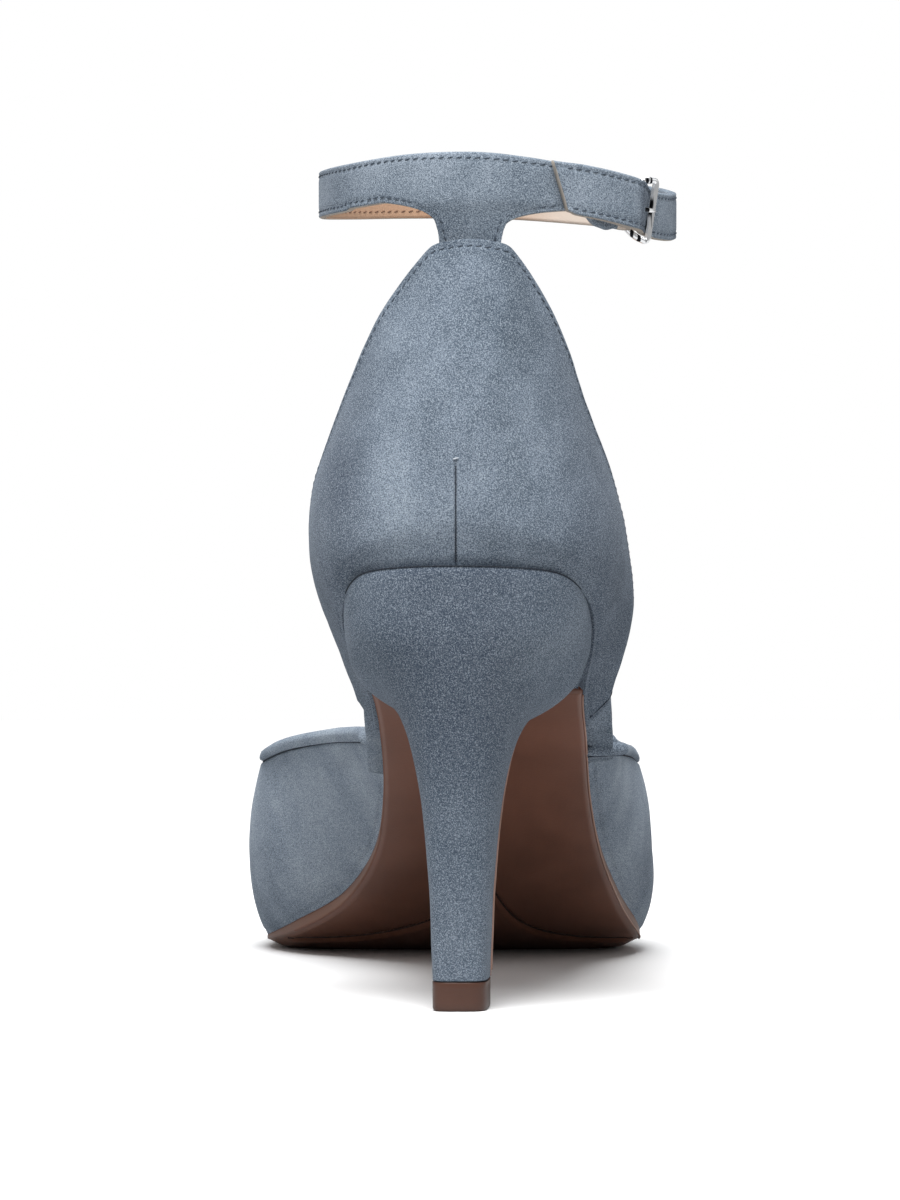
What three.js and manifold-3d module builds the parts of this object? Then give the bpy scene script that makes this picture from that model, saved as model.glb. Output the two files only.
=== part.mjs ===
// Right shoe of a closed-toe ankle-strap court shoe with open sides, on a slim covered heel.
// Millimetres, +Z up, +Y towards the toe, +X towards the outer (lateral) side of the foot.
// The origin is on the floor, under the centre of the heel's top lift.
import * as THREE from "three";
import { mergeVertices } from "three/addons/utils/BufferGeometryUtils.js";
import Module from "manifold-3d";

const wasm = await Module();
wasm.setup();

// Driving sizes. "Along" is measured forward from the rearmost point of the heel cup.
const SHOE_LENGTH = 238;
const SEAT_BACK = 2;
const TIP_FROM_BACK = 20;
const BREAST = 46;
const GAP = 0.3;
const WALL = 1.7;
const BINDING_WIDTH = 3;
const BINDING_STEP = 0.5;
const HEM_WIDTH = 2.2;
const HEM_STEP = 0.15;
const LIFT_HEIGHT = 5.6;
const OUTSOLE_TREAD = 2.8;
const OUTSOLE_SHANK = 1.6;
const PAD_STEP = 0.7;
const FOOTBED_THICK = 3.2;
const SOCK_THICK = 0.9;
const STRAP_WIDTH = 9.2;
const STRAP_THICK = 1.6;
const HEEL_YAW = 0.095; // the heel's own axis turns out by this slope from the shoe's axis

// The feather line, where upper and sole meet: centre, half width and height at each station.
const FEATHER = [
  { along: 0, mid: -0.8, half: 24.0, rise: 86.6 },
  { along: 8, mid: 0.2, half: 24.0, rise: 84.7 },
  { along: 14, mid: 0.8, half: 24.0, rise: 81.7 },
  { along: 20, mid: 1.3, half: 24.0, rise: 78.0 },
  { along: 30, mid: 1.8, half: 23.4, rise: 71.2 },
  { along: 46, mid: 3.3, half: 20.8, rise: 60.4 },
  { along: 60, mid: 4.5, half: 20.5, rise: 51.0 },
  { along: 80, mid: 5.3, half: 21.0, rise: 37.8 },
  { along: 100, mid: 5.6, half: 23.4, rise: 25.4 },
  { along: 120, mid: 4.4, half: 29.0, rise: 14.4 },
  { along: 136, mid: 1.2, half: 36.2, rise: 7.2 },
  { along: 150, mid: -1.2, half: 39.4, rise: 3.4 },
  { along: 162, mid: -2.4, half: 38.4, rise: 2.6 },
  { along: 180, mid: -3.8, half: 33.4, rise: 3.1 },
  { along: 200, mid: -5.0, half: 26.0, rise: 5.0 },
  { along: 220, mid: -5.8, half: 18.6, rise: 8.2 },
  { along: 238, mid: -6.2, half: 14.0, rise: 12.0 },
];

// The heel from its rim down to the lift. "Tilt" is how far a level follows the slope of the seat.
const HEEL = [
  { back: 86.2, tilt: 1.0, rear: 1.2, front: 45.6, half: 23.6, breast: 0.85, square: 2.3 },
  { back: 80.6, tilt: 0.98, rear: 1.2, front: 45.2, half: 23.4, breast: 0.56, square: 2.3 },
  { back: 73.0, tilt: 0.82, rear: 2.0, front: 41.5, half: 21.4, breast: 0.52, square: 2.3 },
  { back: 66.0, tilt: 0.58, rear: 3.6, front: 36.6, half: 16.4, breast: 0.67, square: 2.3 },
  { back: 59.0, tilt: 0.36, rear: 5.4, front: 32.8, half: 12.2, breast: 0.85, square: 2.3 },
  { back: 50.0, tilt: 0.2, rear: 7.7, front: 30.2, half: 9.2, breast: 0.92, square: 2.4 },
  { back: 38.0, tilt: 0.08, rear: 10.4, front: 28.2, half: 7.2, breast: 0.94, square: 2.6 },
  { back: 24.0, tilt: 0.02, rear: 12.6, front: 26.9, half: 6.0, breast: 0.94, square: 3.0 },
  { back: 12.0, tilt: 0.0, rear: 13.8, front: 26.2, half: 5.5, breast: 0.96, square: 3.4 },
  { back: LIFT_HEIGHT + GAP, tilt: 0.0, rear: 14.2, front: 25.8, half: 5.3, breast: 0.98, square: 3.8 },
];

// The quarter, from the inner front corner (turn -1) round the back (0) to the outer one (1).
// "Foot" is where a profile leaves the feather line; x, along and rise place its top.
const QUARTER = [
  { turn: -1.0, foot: 57.5, x: -19.4, along: 56, rise: 60.0, low: 0.8, high: 0.6 },
  { turn: -0.9, foot: 47.5, x: -21.8, along: 50.5, rise: 67.5, low: 1.7, high: 1.2 },
  { turn: -0.78, foot: 38, x: -25.2, along: 45, rise: 77.5, low: 2.9, high: 1.8 },
  { turn: -0.64, foot: 28, x: -27.8, along: 37, rise: 89.5, low: 4.2, high: 2.0 },
  { turn: -0.5, foot: 18, x: -26.9, along: 31, rise: 101.5, low: 5.4, high: 2.4 },
  { turn: -0.36, foot: 9.5, x: -22.4, along: 23.5, rise: 114.5, low: 5.2, high: 3.0 },
  { turn: -0.22, foot: 4.2, x: -14.8, along: 15.6, rise: 132.6, low: 4.0, high: 3.4 },
  { turn: -0.1, foot: 2.3, x: -5.4, along: 10.4, rise: 145.6, low: 3.2, high: 3.6 },
  { turn: -0.05, foot: 2.07, x: -1.8, along: 9.7, rise: 147.0, low: 3.2, high: 3.6 },
  { turn: 0.0, foot: 2.0, x: 1.9, along: 9.4, rise: 147.4, low: 3.2, high: 3.6 },
  { turn: 0.05, foot: 2.07, x: 5.5, along: 9.7, rise: 147.0, low: 3.2, high: 3.6 },
  { turn: 0.1, foot: 2.3, x: 9.0, along: 10.4, rise: 145.6, low: 3.2, high: 3.6 },
  { turn: 0.22, foot: 4.2, x: 17.0, along: 15.6, rise: 132.6, low: 4.0, high: 3.4 },
  { turn: 0.36, foot: 9.5, x: 23.6, along: 23.0, rise: 114.5, low: 5.2, high: 3.0 },
  { turn: 0.5, foot: 18, x: 28.3, along: 30, rise: 101.5, low: 5.4, high: 2.4 },
  { turn: 0.64, foot: 28, x: 31.0, along: 36, rise: 89.5, low: 5.0, high: 2.0 },
  { turn: 0.78, foot: 38, x: 32.1, along: 43, rise: 77.5, low: 4.4, high: 1.8 },
  { turn: 0.9, foot: 47, x: 30.4, along: 48.5, rise: 67.0, low: 2.8, high: 1.2 },
  { turn: 1.0, foot: 56, x: 28.4, along: 55, rise: 59.0, low: 1.4, high: 0.6 },
];

// The vamp, from the inner rear corner (turn -1) round the toe (0) to the outer one (1).
const VAMP = [
  { turn: -1.0, foot: 73, x: -18.6, along: 73, rise: 50.8, low: 1.6, high: 0.8 },
  { turn: -0.85, foot: 94, x: -26.8, along: 94, rise: 49.2, low: 5.0, high: 1.6 },
  { turn: -0.7, foot: 118, x: -36.8, along: 117, rise: 46.2, low: 9.4, high: 2.6 },
  { turn: -0.56, foot: 140, x: -41.2, along: 134, rise: 43.2, low: 8.6, high: 3.2 },
  { turn: -0.42, foot: 164, x: -38.6, along: 149, rise: 42.4, low: 5.0, high: 3.4 },
  { turn: -0.28, foot: 193, x: -29.0, along: 161, rise: 43.6, low: 3.0, high: 2.4 },
  { turn: -0.14, foot: 222, x: -15.4, along: 168, rise: 45.0, low: 1.8, high: 1.0 },
  { turn: 0.0, foot: SHOE_LENGTH, x: -2.6, along: 170, rise: 45.6, low: 1.4, high: 0.0 },
  { turn: 0.14, foot: 222, x: 10.2, along: 168, rise: 45.0, low: 1.8, high: 1.0 },
  { turn: 0.28, foot: 193, x: 23.4, along: 161.5, rise: 43.4, low: 3.0, high: 2.4 },
  { turn: 0.42, foot: 166, x: 32.8, along: 151, rise: 42.0, low: 4.0, high: 3.2 },
  { turn: 0.56, foot: 143, x: 36.3, along: 137, rise: 42.4, low: 6.4, high: 3.0 },
  { turn: 0.7, foot: 119, x: 35.7, along: 119, rise: 44.8, low: 7.6, high: 2.4 },
  { turn: 0.85, foot: 94, x: 33.0, along: 94, rise: 47.0, low: 6.4, high: 2.0 },
  { turn: 1.0, foot: 70, x: 31.0, along: 70, rise: 49.0, low: 4.0, high: 1.0 },
];

// Smooth reading of one column of a table, by a cubic through its rows.
function reader(table, key, column) {
  const x = table.map((row) => row[key]);
  const y = table.map((row) => row[column]);
  const slope = y.map((_, i) => {
    const a = Math.max(i - 1, 0);
    const b = Math.min(i + 1, y.length - 1);
    return (y[b] - y[a]) / (x[b] - x[a]);
  });
  return (at) => {
    const t = Math.min(Math.max(at, Math.min(x[0], x.at(-1))), Math.max(x[0], x.at(-1)));
    let i = 0;
    while (i < x.length - 2 && (x[i + 1] - t) * Math.sign(x[1] - x[0]) < 0) i++;
    const h = x[i + 1] - x[i];
    const u = (t - x[i]) / h;
    return (
      y[i] * (1 + 2 * u) * (1 - u) ** 2 +
      slope[i] * h * u * (1 - u) ** 2 +
      y[i + 1] * u * u * (3 - 2 * u) +
      slope[i + 1] * h * u * u * (u - 1)
    );
  };
}

const smooth = (a, b, x) => {
  const t = Math.min(Math.max((x - a) / (b - a), 0), 1);
  return t * t * (3 - 2 * t);
};
const mix = (a, b, t) => a + (b - a) * t;
const range = (n) => Array.from({ length: n }, (_, i) => i);
const place = (x, along, rise) => new THREE.Vector3(x, along - TIP_FROM_BACK, rise);

const featherMid = reader(FEATHER, "along", "mid");
const featherHalfTable = reader(FEATHER, "along", "half");
const featherRise = reader(FEATHER, "along", "rise");

const SEAT_ROUND = 24;
const TOE_ROUND = 200;
function featherHalf(along) {
  const behind = Math.max((SEAT_ROUND - along) / (SEAT_ROUND - SEAT_BACK), 0);
  const ahead = Math.max((along - TOE_ROUND) / (SHOE_LENGTH - TOE_ROUND), 0);
  const heelRound = Math.max(1 - Math.min(behind, 1) ** 2.3, 0) ** (1 / 2.3);
  const toeRound = Math.max(1 - Math.min(ahead, 1) ** 2.6, 0) ** (1 / 2);
  return featherHalfTable(along) * heelRound * toeRound;
}

// A point of the feather line: side -1 is the inner side, 1 the outer.
function feather(along, side, inset = 0) {
  return place(featherMid(along) + side * Math.max(featherHalf(along) - inset, 0), along, featherRise(along));
}

// Closed skin through rings of equal count, capped at both ends.
function loft(rings) {
  const count = rings[0].length;
  const points = rings.flat();
  const faces = [];
  range(rings.length - 1).forEach((r) =>
    range(count).forEach((i) => {
      const a = r * count + i;
      const b = r * count + ((i + 1) % count);
      faces.push([a, b, b + count], [a, b + count, a + count]);
    }),
  );
  [0, rings.length - 1].forEach((r) => {
    const centre = rings[r].reduce((sum, p) => sum.add(p), new THREE.Vector3()).divideScalar(count);
    points.push(centre);
    range(count).forEach((i) => {
      const edge = [r * count + i, r * count + ((i + 1) % count)];
      faces.push(r === 0 ? [points.length - 1, edge[1], edge[0]] : [points.length - 1, edge[0], edge[1]]);
    });
  });
  return skin(points, faces);
}

// A closed mesh of these faces, all turned round if they enclose a negative volume.
function skin(points, faces) {
  const volume = faces.reduce((sum, [a, b, c]) => sum + points[a].dot(points[b].clone().cross(points[c])), 0);
  const outward = volume < 0 ? faces.map(([a, b, c]) => [a, c, b]) : faces;
  const geometry = new THREE.BufferGeometry();
  geometry.setAttribute("position", new THREE.Float32BufferAttribute(points.flatMap((p) => p.toArray()), 3));
  geometry.setIndex(outward.flat());
  return geometry;
}

// Wall between two grids of points, its outer and inner faces, closed along all four borders.
function wall(outer, inner) {
  const rows = outer.length;
  const columns = outer[0].length;
  const points = [...outer.flat(), ...inner.flat()];
  const shift = rows * columns;
  const faces = [];
  const quad = (a, b, c, d) => faces.push([a, b, c], [a, c, d]);
  range(rows - 1).forEach((r) =>
    range(columns - 1).forEach((c) => {
      const a = r * columns + c;
      quad(a, a + 1, a + columns + 1, a + columns);
      quad(a + shift, a + columns + shift, a + columns + 1 + shift, a + 1 + shift);
    }),
  );
  range(columns - 1).forEach((c) => {
    const top = (rows - 1) * columns + c;
    quad(c + 1, c, c + shift, c + 1 + shift);
    quad(top, top + 1, top + 1 + shift, top + shift);
  });
  range(rows - 1).forEach((r) => {
    const a = r * columns;
    const b = a + columns - 1;
    quad(a, a + columns, a + columns + shift, a + shift);
    quad(b + columns, b, b + shift, b + columns + shift);
  });
  return skin(points, faces);
}

// Turns a closed geometry into a solid and back, for joins and cuts.
function solid(geometry) {
  const bare = new THREE.BufferGeometry().setAttribute("position", geometry.getAttribute("position").clone());
  if (geometry.index) bare.setIndex(geometry.index.clone());
  const merged = mergeVertices(bare, 1e-4);
  return new wasm.Manifold(
    new wasm.Mesh({
      numProp: 3,
      vertProperties: merged.attributes.position.array,
      triVerts: new Uint32Array(merged.index.array),
    }),
  );
}

function geometryOf(shape) {
  const mesh = shape.getMesh();
  return new THREE.BufferGeometry()
    .setAttribute("position", new THREE.Float32BufferAttribute(mesh.vertProperties, 3))
    .setIndex(new THREE.Uint32BufferAttribute(mesh.triVerts, 1));
}

// One profile of the upper: a curve from the feather line up to the top line, swelling outwards.
function upperSurface(table, reach) {
  const read = Object.fromEntries(
    ["foot", "x", "along", "rise", "low", "high"].map((c) => [c, reader(table, "turn", c)]),
  );
  const footAt = (turn, side) => {
    const along = Math.min(Math.max(read.foot(turn), SEAT_BACK), SHOE_LENGTH);
    return feather(along, side).add(new THREE.Vector3(0, 0, GAP));
  };
  return (turn, v) => {
    const side = turn < 0 ? -1 : 1;
    const foot = footAt(turn, side);
    const before = footAt(turn - 0.02, turn - 0.02 < 0 ? -1 : 1);
    const after = footAt(turn + 0.02, turn + 0.02 < 0 ? -1 : 1);
    const run = after.sub(before).setZ(0).normalize();
    const out = new THREE.Vector3(run.y, -run.x, 0);
    if (reach) out.negate();
    const top = place(read.x(turn), read.along(turn), read.rise(turn));
    const height = top.z - foot.z;
    const span = foot.clone().sub(top).setZ(0);
    const lower = foot.clone().addScaledVector(out, read.low(turn));
    lower.z += height * (reach ? 0.3 : 0.33);
    const upper = top.clone().addScaledVector(out, read.high(turn)).addScaledVector(span, reach ? 0.42 : 0.1);
    upper.z -= height * (reach ? 0.2 : 0.33);
    return new THREE.CubicBezierCurve3(foot, lower, upper, top).getPoint(v);
  };
}

// Outer and inner faces of an upper part, with its top edge stepped up as a turned binding.
function upperPart(surface, turns, rows, binding, step) {
  const tops = turns.map((turn) => {
    const length = surface(turn, 0.5).distanceTo(surface(turn, 1)) + surface(turn, 0).distanceTo(surface(turn, 0.5));
    return 1 - Math.min(binding / length, 0.45);
  });
  const levels = [...range(rows).map((r) => [r / (rows - 1), 0]), [0, 0.12], [0, 1]];
  const at = (i, [share, over]) => {
    const body = tops[i] * share;
    return over === 0 ? body : mix(tops[i], 1, over);
  };
  const normal = (turn, v) => {
    const du = surface(Math.min(turn + 0.01, 1), v).sub(surface(Math.max(turn - 0.01, -1), v));
    const dv = surface(turn, Math.min(v + 0.02, 1)).sub(surface(turn, Math.max(v - 0.02, 0)));
    return du.cross(dv).normalize();
  };
  const outer = levels.map((level) =>
    turns.map((turn, i) => {
      const v = at(i, level);
      return surface(turn, v).addScaledVector(normal(turn, v), -(level[1] > 0 ? step : 0));
    }),
  );
  const inner = levels.map((level) =>
    turns.map((turn, i) => {
      const v = at(i, level);
      return surface(turn, v).addScaledVector(normal(turn, v), WALL);
    }),
  );
  return wall(outer, inner);
}

const quarterSurface = upperSurface(QUARTER, false);
const vampSurface = upperSurface(VAMP, true);

function quarter() {
  const turns = range(41).map((i) => -1 + i / 20);
  return upperPart(quarterSurface, turns, 8, HEM_WIDTH, HEM_STEP);
}

function vamp() {
  const turns = range(45).map((i) => 1 - i / 22);
  return upperPart(vampSurface, turns, 8, BINDING_WIDTH, BINDING_STEP);
}

// A plate that follows the feather line: rings across the shoe, bottom first.
const ACROSS = 8;
function plate({ from, to, stations, inset, bottom, top, flare = () => 0 }) {
  const rings = range(stations).map((i) => {
    const along = from + ((to - from) * (1 - Math.cos((Math.PI * i) / (stations - 1)))) / 2;
    const half = Math.max(featherHalf(along) - inset(along), 1.2);
    const mid = featherMid(along);
    const across = range(ACROSS + 1).map((k) => -1 + (2 * k) / ACROSS);
    return [
      ...across.map((t) => place(mid + t * half, along, bottom(along, t))),
      ...across.reverse().map((t) => place(mid + t * (half + flare(along, t)), along, top(along, t))),
    ];
  });
  return loft(rings);
}

const PAD_BACK = 118;
const soleThick = (along) => mix(OUTSOLE_SHANK, OUTSOLE_TREAD, smooth(70, 140, along));
function outsoleBottom(along, t) {
  const padEdge = PAD_BACK + 22 * t * t;
  const pad = PAD_STEP * smooth(padEdge, padEdge + 0.8, along) * (1 - smooth(0.86, 0.94, Math.abs(t)));
  const curl = 1.3 * t ** 4;
  return Math.max(featherRise(along) - soleThick(along) - pad + curl * smooth(130, 150, along), 0);
}

function outsole() {
  const body = plate({
    from: BREAST - 0.4,
    to: SHOE_LENGTH - 0.6,
    stations: 34,
    inset: () => 0.2,
    bottom: outsoleBottom,
    top: (along) => featherRise(along),
  });
  return geometryOf(solid(body).add(solid(breastCover())));
}

// One level of the heel as a ring: rounded rear, sides drawn in to a flat breast.
const heelColumns = Object.fromEntries(
  ["back", "tilt", "rear", "front", "half", "breast", "square"].map((c) => [
    c,
    reader(HEEL.map((row, i) => ({ ...row, level: i })), "level", c),
  ]),
);

function heelSide(level, along) {
  const h = (c) => heelColumns[c](level);
  const widest = mix(h("rear"), h("front"), 0.5);
  if (along < widest) {
    const t = (widest - along) / (widest - h("rear"));
    return h("half") * Math.max(1 - Math.min(t, 1) ** h("square"), 0) ** (1 / h("square"));
  }
  const t = (along - widest) / (h("front") - widest);
  return h("half") * (1 - (1 - h("breast")) * t * t);
}

function heelPoint(level, along, side, offset = 0) {
  const rim = featherRise(0);
  const centre = mix(0, -0.8, heelColumns.tilt(level)) + (along - TIP_FROM_BACK * (1 - heelColumns.tilt(level))) * HEEL_YAW;
  const rise = heelColumns.back(level) + heelColumns.tilt(level) * (featherRise(along) - rim);
  return place(centre + side * Math.max(heelSide(level, along) - offset, 0), along, rise);
}

function heelRing(level) {
  const rear = heelColumns.rear(level);
  const front = heelColumns.front(level);
  const steps = 11;
  const alongAt = (i) => mix(rear, front, 1 - Math.cos((Math.PI * i) / (2 * steps)));
  const inner = range(steps).map((i) => heelPoint(level, alongAt(i + 1), -1));
  const outer = range(steps).map((i) => heelPoint(level, alongAt(i + 1), 1));
  const hollow = 2.2 * heelColumns.tilt(level);
  const breast = [0.6, 0.2, -0.2, -0.6].map((share) => {
    const along = front - hollow * (1 - share * share);
    return heelPoint(level, along, share);
  });
  return [heelPoint(level, rear, 0), ...outer, ...breast, ...inner.reverse()];
}

const HEEL_LEVELS = 19;
function heel() {
  const rings = range(HEEL_LEVELS).map((i) => heelRing(((HEEL.length - 1) * (HEEL_LEVELS - 1 - i)) / (HEEL_LEVELS - 1)));
  return loft(rings);
}

// The tongue of sole leather that runs down the heel's breast to the top lift.
function breastCover() {
  const rings = range(HEEL_LEVELS).map((i) => {
    const level = ((HEEL.length - 1) * i) / (HEEL_LEVELS - 1);
    const front = heelColumns.front(level);
    const hollow = 2.2 * heelColumns.tilt(level);
    const shares = [-1, -0.6, -0.2, 0.2, 0.6, 1];
    const face = (ahead) =>
      shares.map((share) => {
        const along = front - hollow * (1 - share * share);
        const point = heelPoint(level, along, share, share * share === 1 ? 0.2 : 0);
        point.y += GAP + ahead;
        point.z += heelColumns.tilt(level) * (featherRise(along + GAP + ahead) - featherRise(along));
        return point;
      });
    return [...face(0).reverse(), ...face(1.1 + 2.6 * (1 - smooth(0, 1.2, level)))];
  });
  return loft(rings);
}

function topLift() {
  const last = HEEL.length - 1;
  const ring = (rise, inset) =>
    heelRing(last).map((p) => {
      const centre = new THREE.Vector3(0, 0, 0);
      const flat = p.clone().setZ(0).sub(centre);
      return flat.multiplyScalar(1 - inset / flat.length()).add(centre).setZ(rise);
    });
  return loft([ring(0, 0.7), ring(0.5, 0.25), ring(LIFT_HEIGHT, 0.15)]);
}

// The wrapped footbed. Its edge shows at the waist, between quarter and vamp, where it flares.
function footbed() {
  return plate({
    from: SEAT_BACK + 3,
    to: SHOE_LENGTH - 8,
    stations: 34,
    inset: (along) => mix(2.6 + 1.6 * smooth(200, 230, along), 0.4, smooth(59.5, 61.5, along) * (1 - smooth(68, 70, along))),
    bottom: (along) => featherRise(along) + GAP,
    top: (along) => featherRise(along) + GAP + FOOTBED_THICK,
    flare: (along, t) => (t < 0 ? 2.6 : 4.8) * smooth(58.8, 61.5, along) * (1 - smooth(68, 71, along)),
  });
}

function sock() {
  const base = (along) => featherRise(along) + FOOTBED_THICK + 2 * GAP;
  return plate({
    from: SEAT_BACK + 3.4,
    to: SHOE_LENGTH - 8,
    stations: 22,
    inset: () => 3.4,
    bottom: (along) => base(along),
    top: (along) => base(along) + SOCK_THICK,
  });
}

// The ankle strap lies on an oval ring. Angles are degrees from the back, growing past the inner
// side and the front to the outer side. "Out" is how far a layer lies off the ring.
const RING = { x: 7.2, along: 47.3, wide: 34.2, deep: 36.8 };
const REAR_BAR = { angle: -42.5, out: -0.9 };
const FRONT_BAR = { angle: -51.5, out: 2.6 };

// From the folded end of the chape, round the rear bar, round the ankle and back over itself.
const STRAP = [
  { angle: -30, out: -2.2 },
  { angle: -35, out: -2.4 },
  { angle: -39, out: -2.7 },
  { angle: -42.5, out: -2.85 },
  { angle: -45, out: -2.2 },
  { angle: -45.9, out: -0.9 },
  { angle: -45, out: 0.5 },
  { angle: -42.5, out: 1.0 },
  { angle: -37, out: 0.7 },
  { angle: -29, out: 0.15 },
  { angle: -20, out: 0 },
  { angle: -8, out: 0 },
  { angle: 8, out: 0 },
  { angle: 30, out: 0 },
  { angle: 60, out: 0 },
  { angle: 90, out: 0 },
  { angle: 120, out: 0 },
  { angle: 150, out: 0 },
  { angle: 180, out: 0 },
  { angle: 210, out: 0 },
  { angle: 240, out: 0 },
  { angle: 265, out: 0 },
  { angle: 285, out: 0 },
  { angle: 297, out: 0 },
  { angle: 304, out: 0.1 },
  { angle: 308.5, out: 0.5 },
  { angle: 312, out: 1.6 },
  { angle: 316, out: 2.9 },
  { angle: 320, out: 3.0 },
  { angle: 327, out: 2.6 },
  { angle: 334, out: 2.2 },
  { angle: 341.5, out: 2.1 },
];

// Height of the strap's middle above the floor round the ring.
const STRAP_RISE = [
  { angle: -66, rise: 153.3 },
  { angle: -54, rise: 154.1 },
  { angle: -36, rise: 156.2 },
  { angle: -18, rise: 158.3 },
  { angle: 0, rise: 159.6 },
  { angle: 40, rise: 158.9 },
  { angle: 90, rise: 157.2 },
  { angle: 180, rise: 158.0 },
  { angle: 235, rise: 156.2 },
  { angle: 275, rise: 153.8 },
  { angle: 294, rise: 153.3 },
  { angle: 306, rise: 154.1 },
  { angle: 324, rise: 156.2 },
  { angle: 342, rise: 158.3 },
];
const TAIL_SLANT = 1.35;

// Half width of the strap's tab, from inside the quarter's top edge up to the strap.
const TAB = [
  { rise: 139.5, half: 6.0, along: 10.6 },
  { rise: 143.0, half: 6.8, along: 11.0 },
  { rise: 147.5, half: 6.9, along: 11.5 },
  { rise: 149.4, half: 6.9, along: 11.2 },
  { rise: 151.4, half: 8.0, along: 10.8 },
  { rise: 153.0, half: 10.3, along: 10.4 },
  { rise: 154.0, half: 12.8, along: 10.1 },
  { rise: 154.7, half: 15.8, along: 9.9 },
  { rise: 157.0, half: 16.4, along: 9.75 },
];
const TAB_CENTRE = 1.9;

const strapRise = reader(STRAP_RISE, "angle", "rise");
const radians = (degrees) => (degrees * Math.PI) / 180;

function ringPoint(angle, out) {
  const a = radians(angle);
  const away = new THREE.Vector2(-Math.sin(a) / RING.wide, -Math.cos(a) / RING.deep).normalize();
  return place(
    RING.x - RING.wide * Math.sin(a) + away.x * out,
    RING.along - RING.deep * Math.cos(a) + away.y * out,
    strapRise(angle),
  );
}

// Across the strap, square to the ring's slope, so that both layers and the bars lie parallel.
function strapUp(angle) {
  const run = ringPoint(angle + 1, 0).sub(ringPoint(angle - 1, 0)).normalize();
  const out = run.clone().cross(new THREE.Vector3(0, 0, 1)).normalize();
  return out.cross(run);
}

// A flat section with eased corners, swept along the strap's path.
const STRAP_STATIONS = 3 * (STRAP.length - 1); // three to each row of the path
function strapBand() {
  const path = new THREE.CatmullRomCurve3(STRAP.map(({ angle, out }) => ringPoint(angle, out)));
  const ease = 0.35;
  const high = STRAP_WIDTH / 2;
  const thick = STRAP_THICK / 2;
  const section = [
    [thick, high - ease], [thick - ease, high], [ease - thick, high], [-thick, high - ease],
    [-thick, ease - high], [ease - thick, -high], [thick - ease, -high], [thick, ease - high],
  ];
  const rings = range(STRAP_STATIONS + 1).map((i) => {
    const share = i / STRAP_STATIONS;
    const centre = path.getPoint(share);
    const run = path.getTangent(share).setZ(0).normalize();
    const out = new THREE.Vector3(run.y, -run.x, 0);
    const slant = (TAIL_SLANT * smooth(0.97, 1, share)) / high;
    const row = Math.min(Math.floor(i / 3), STRAP.length - 2);
    const up = strapUp(mix(STRAP[row].angle, STRAP[row + 1].angle, i / 3 - row));
    return section.map(([o, u]) =>
      centre.clone().addScaledVector(out, o).addScaledVector(run, u * slant).addScaledVector(up, u),
    );
  });
  return loft(rings);
}

function tab() {
  const half = reader(TAB, "rise", "half");
  const back = reader(TAB, "rise", "along");
  const rises = [139.5, 143, 147.5, 149.4, 150.6, 151.6, 152.4, 153.1, 153.7, 154.2, 154.7, 157];
  const face = (inwards) =>
    rises.map((rise) =>
      range(11).map((k) => {
        const x = TAB_CENTRE + half(rise) * (k / 5 - 1);
        const off = (x - RING.x) / RING.wide;
        return place(x, back(rise) + RING.deep * (1 - Math.sqrt(1 - off * off)) + inwards, rise);
      }),
    );
  return wall(face(0), face(STRAP_THICK - 0.1));
}

// The buckle's own frame: forward from its rear bar to its front bar, up, and outwards.
function buckleFrame() {
  const rear = ringPoint(REAR_BAR.angle, REAR_BAR.out);
  const forward = ringPoint(FRONT_BAR.angle, FRONT_BAR.out).sub(rear);
  const ahead = forward.clone().normalize();
  const out = ahead.clone().cross(new THREE.Vector3(0, 0, 1)).normalize();
  const matrix = new THREE.Matrix4().makeBasis(ahead, out.clone().cross(ahead), out).setPosition(rear);
  return { matrix, pitch: forward.length() };
}

const BUCKLE = { wire: 1.4, high: 13.6, corner: 1.6 };
function roundedOutline(shape, left, right, high, corner) {
  const [l, r, h, c] = [left, right, high / 2, corner];
  shape.moveTo(l + c, -h).lineTo(r - c, -h).absarc(r - c, c - h, c, -Math.PI / 2, 0, false);
  shape.lineTo(r, h - c).absarc(r - c, h - c, c, 0, Math.PI / 2, false);
  shape.lineTo(l + c, h).absarc(l + c, h - c, c, Math.PI / 2, Math.PI, false);
  shape.lineTo(l, c - h).absarc(l + c, c - h, c, Math.PI, 1.5 * Math.PI, false);
  return shape;
}

function buckle() {
  const { matrix, pitch } = buckleFrame();
  const { wire, high, corner } = BUCKLE;
  const outline = roundedOutline(new THREE.Shape(), -wire / 2, pitch + wire / 2, high, corner);
  outline.holes.push(roundedOutline(new THREE.Path(), wire / 2, pitch - wire / 2, high - 2 * wire, 0.5));
  const bevel = 0.25;
  const geometry = new THREE.ExtrudeGeometry(outline, {
    depth: wire - 2 * bevel, bevelThickness: bevel, bevelSize: bevel, bevelOffset: -bevel,
    bevelSegments: 1, curveSegments: 4,
  });
  return geometry.translate(0, 0, bevel - wire / 2).applyMatrix4(matrix);
}

// The prong rises through the strap's hole and rests on the front bar.
const PRONG_RADIUS = 0.55;
const PRONG = [
  { ahead: 0.3, out: 1.35 },
  { ahead: 1.4, out: 3.4 },
  { ahead: 3.0, out: 4.0 },
  { ahead: 5.2, out: 3.0 },
  { ahead: 8.2, out: 1.7 },
];
function prong() {
  const { matrix } = buckleFrame();
  const path = new THREE.CatmullRomCurve3(PRONG.map(({ ahead, out }) => new THREE.Vector3(ahead, 0, out)));
  const section = new THREE.Shape().absarc(0, 0, PRONG_RADIUS, 0, 2 * Math.PI, false);
  const geometry = new THREE.ExtrudeGeometry(section, { steps: 14, extrudePath: path, curveSegments: 4 });
  return geometry.applyMatrix4(matrix);
}

function prongSlot() {
  const { matrix } = buckleFrame();
  return new THREE.BoxGeometry(4.2, 1.9, 5).translate(1.7, 0, 3.0).applyMatrix4(matrix);
}

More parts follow.
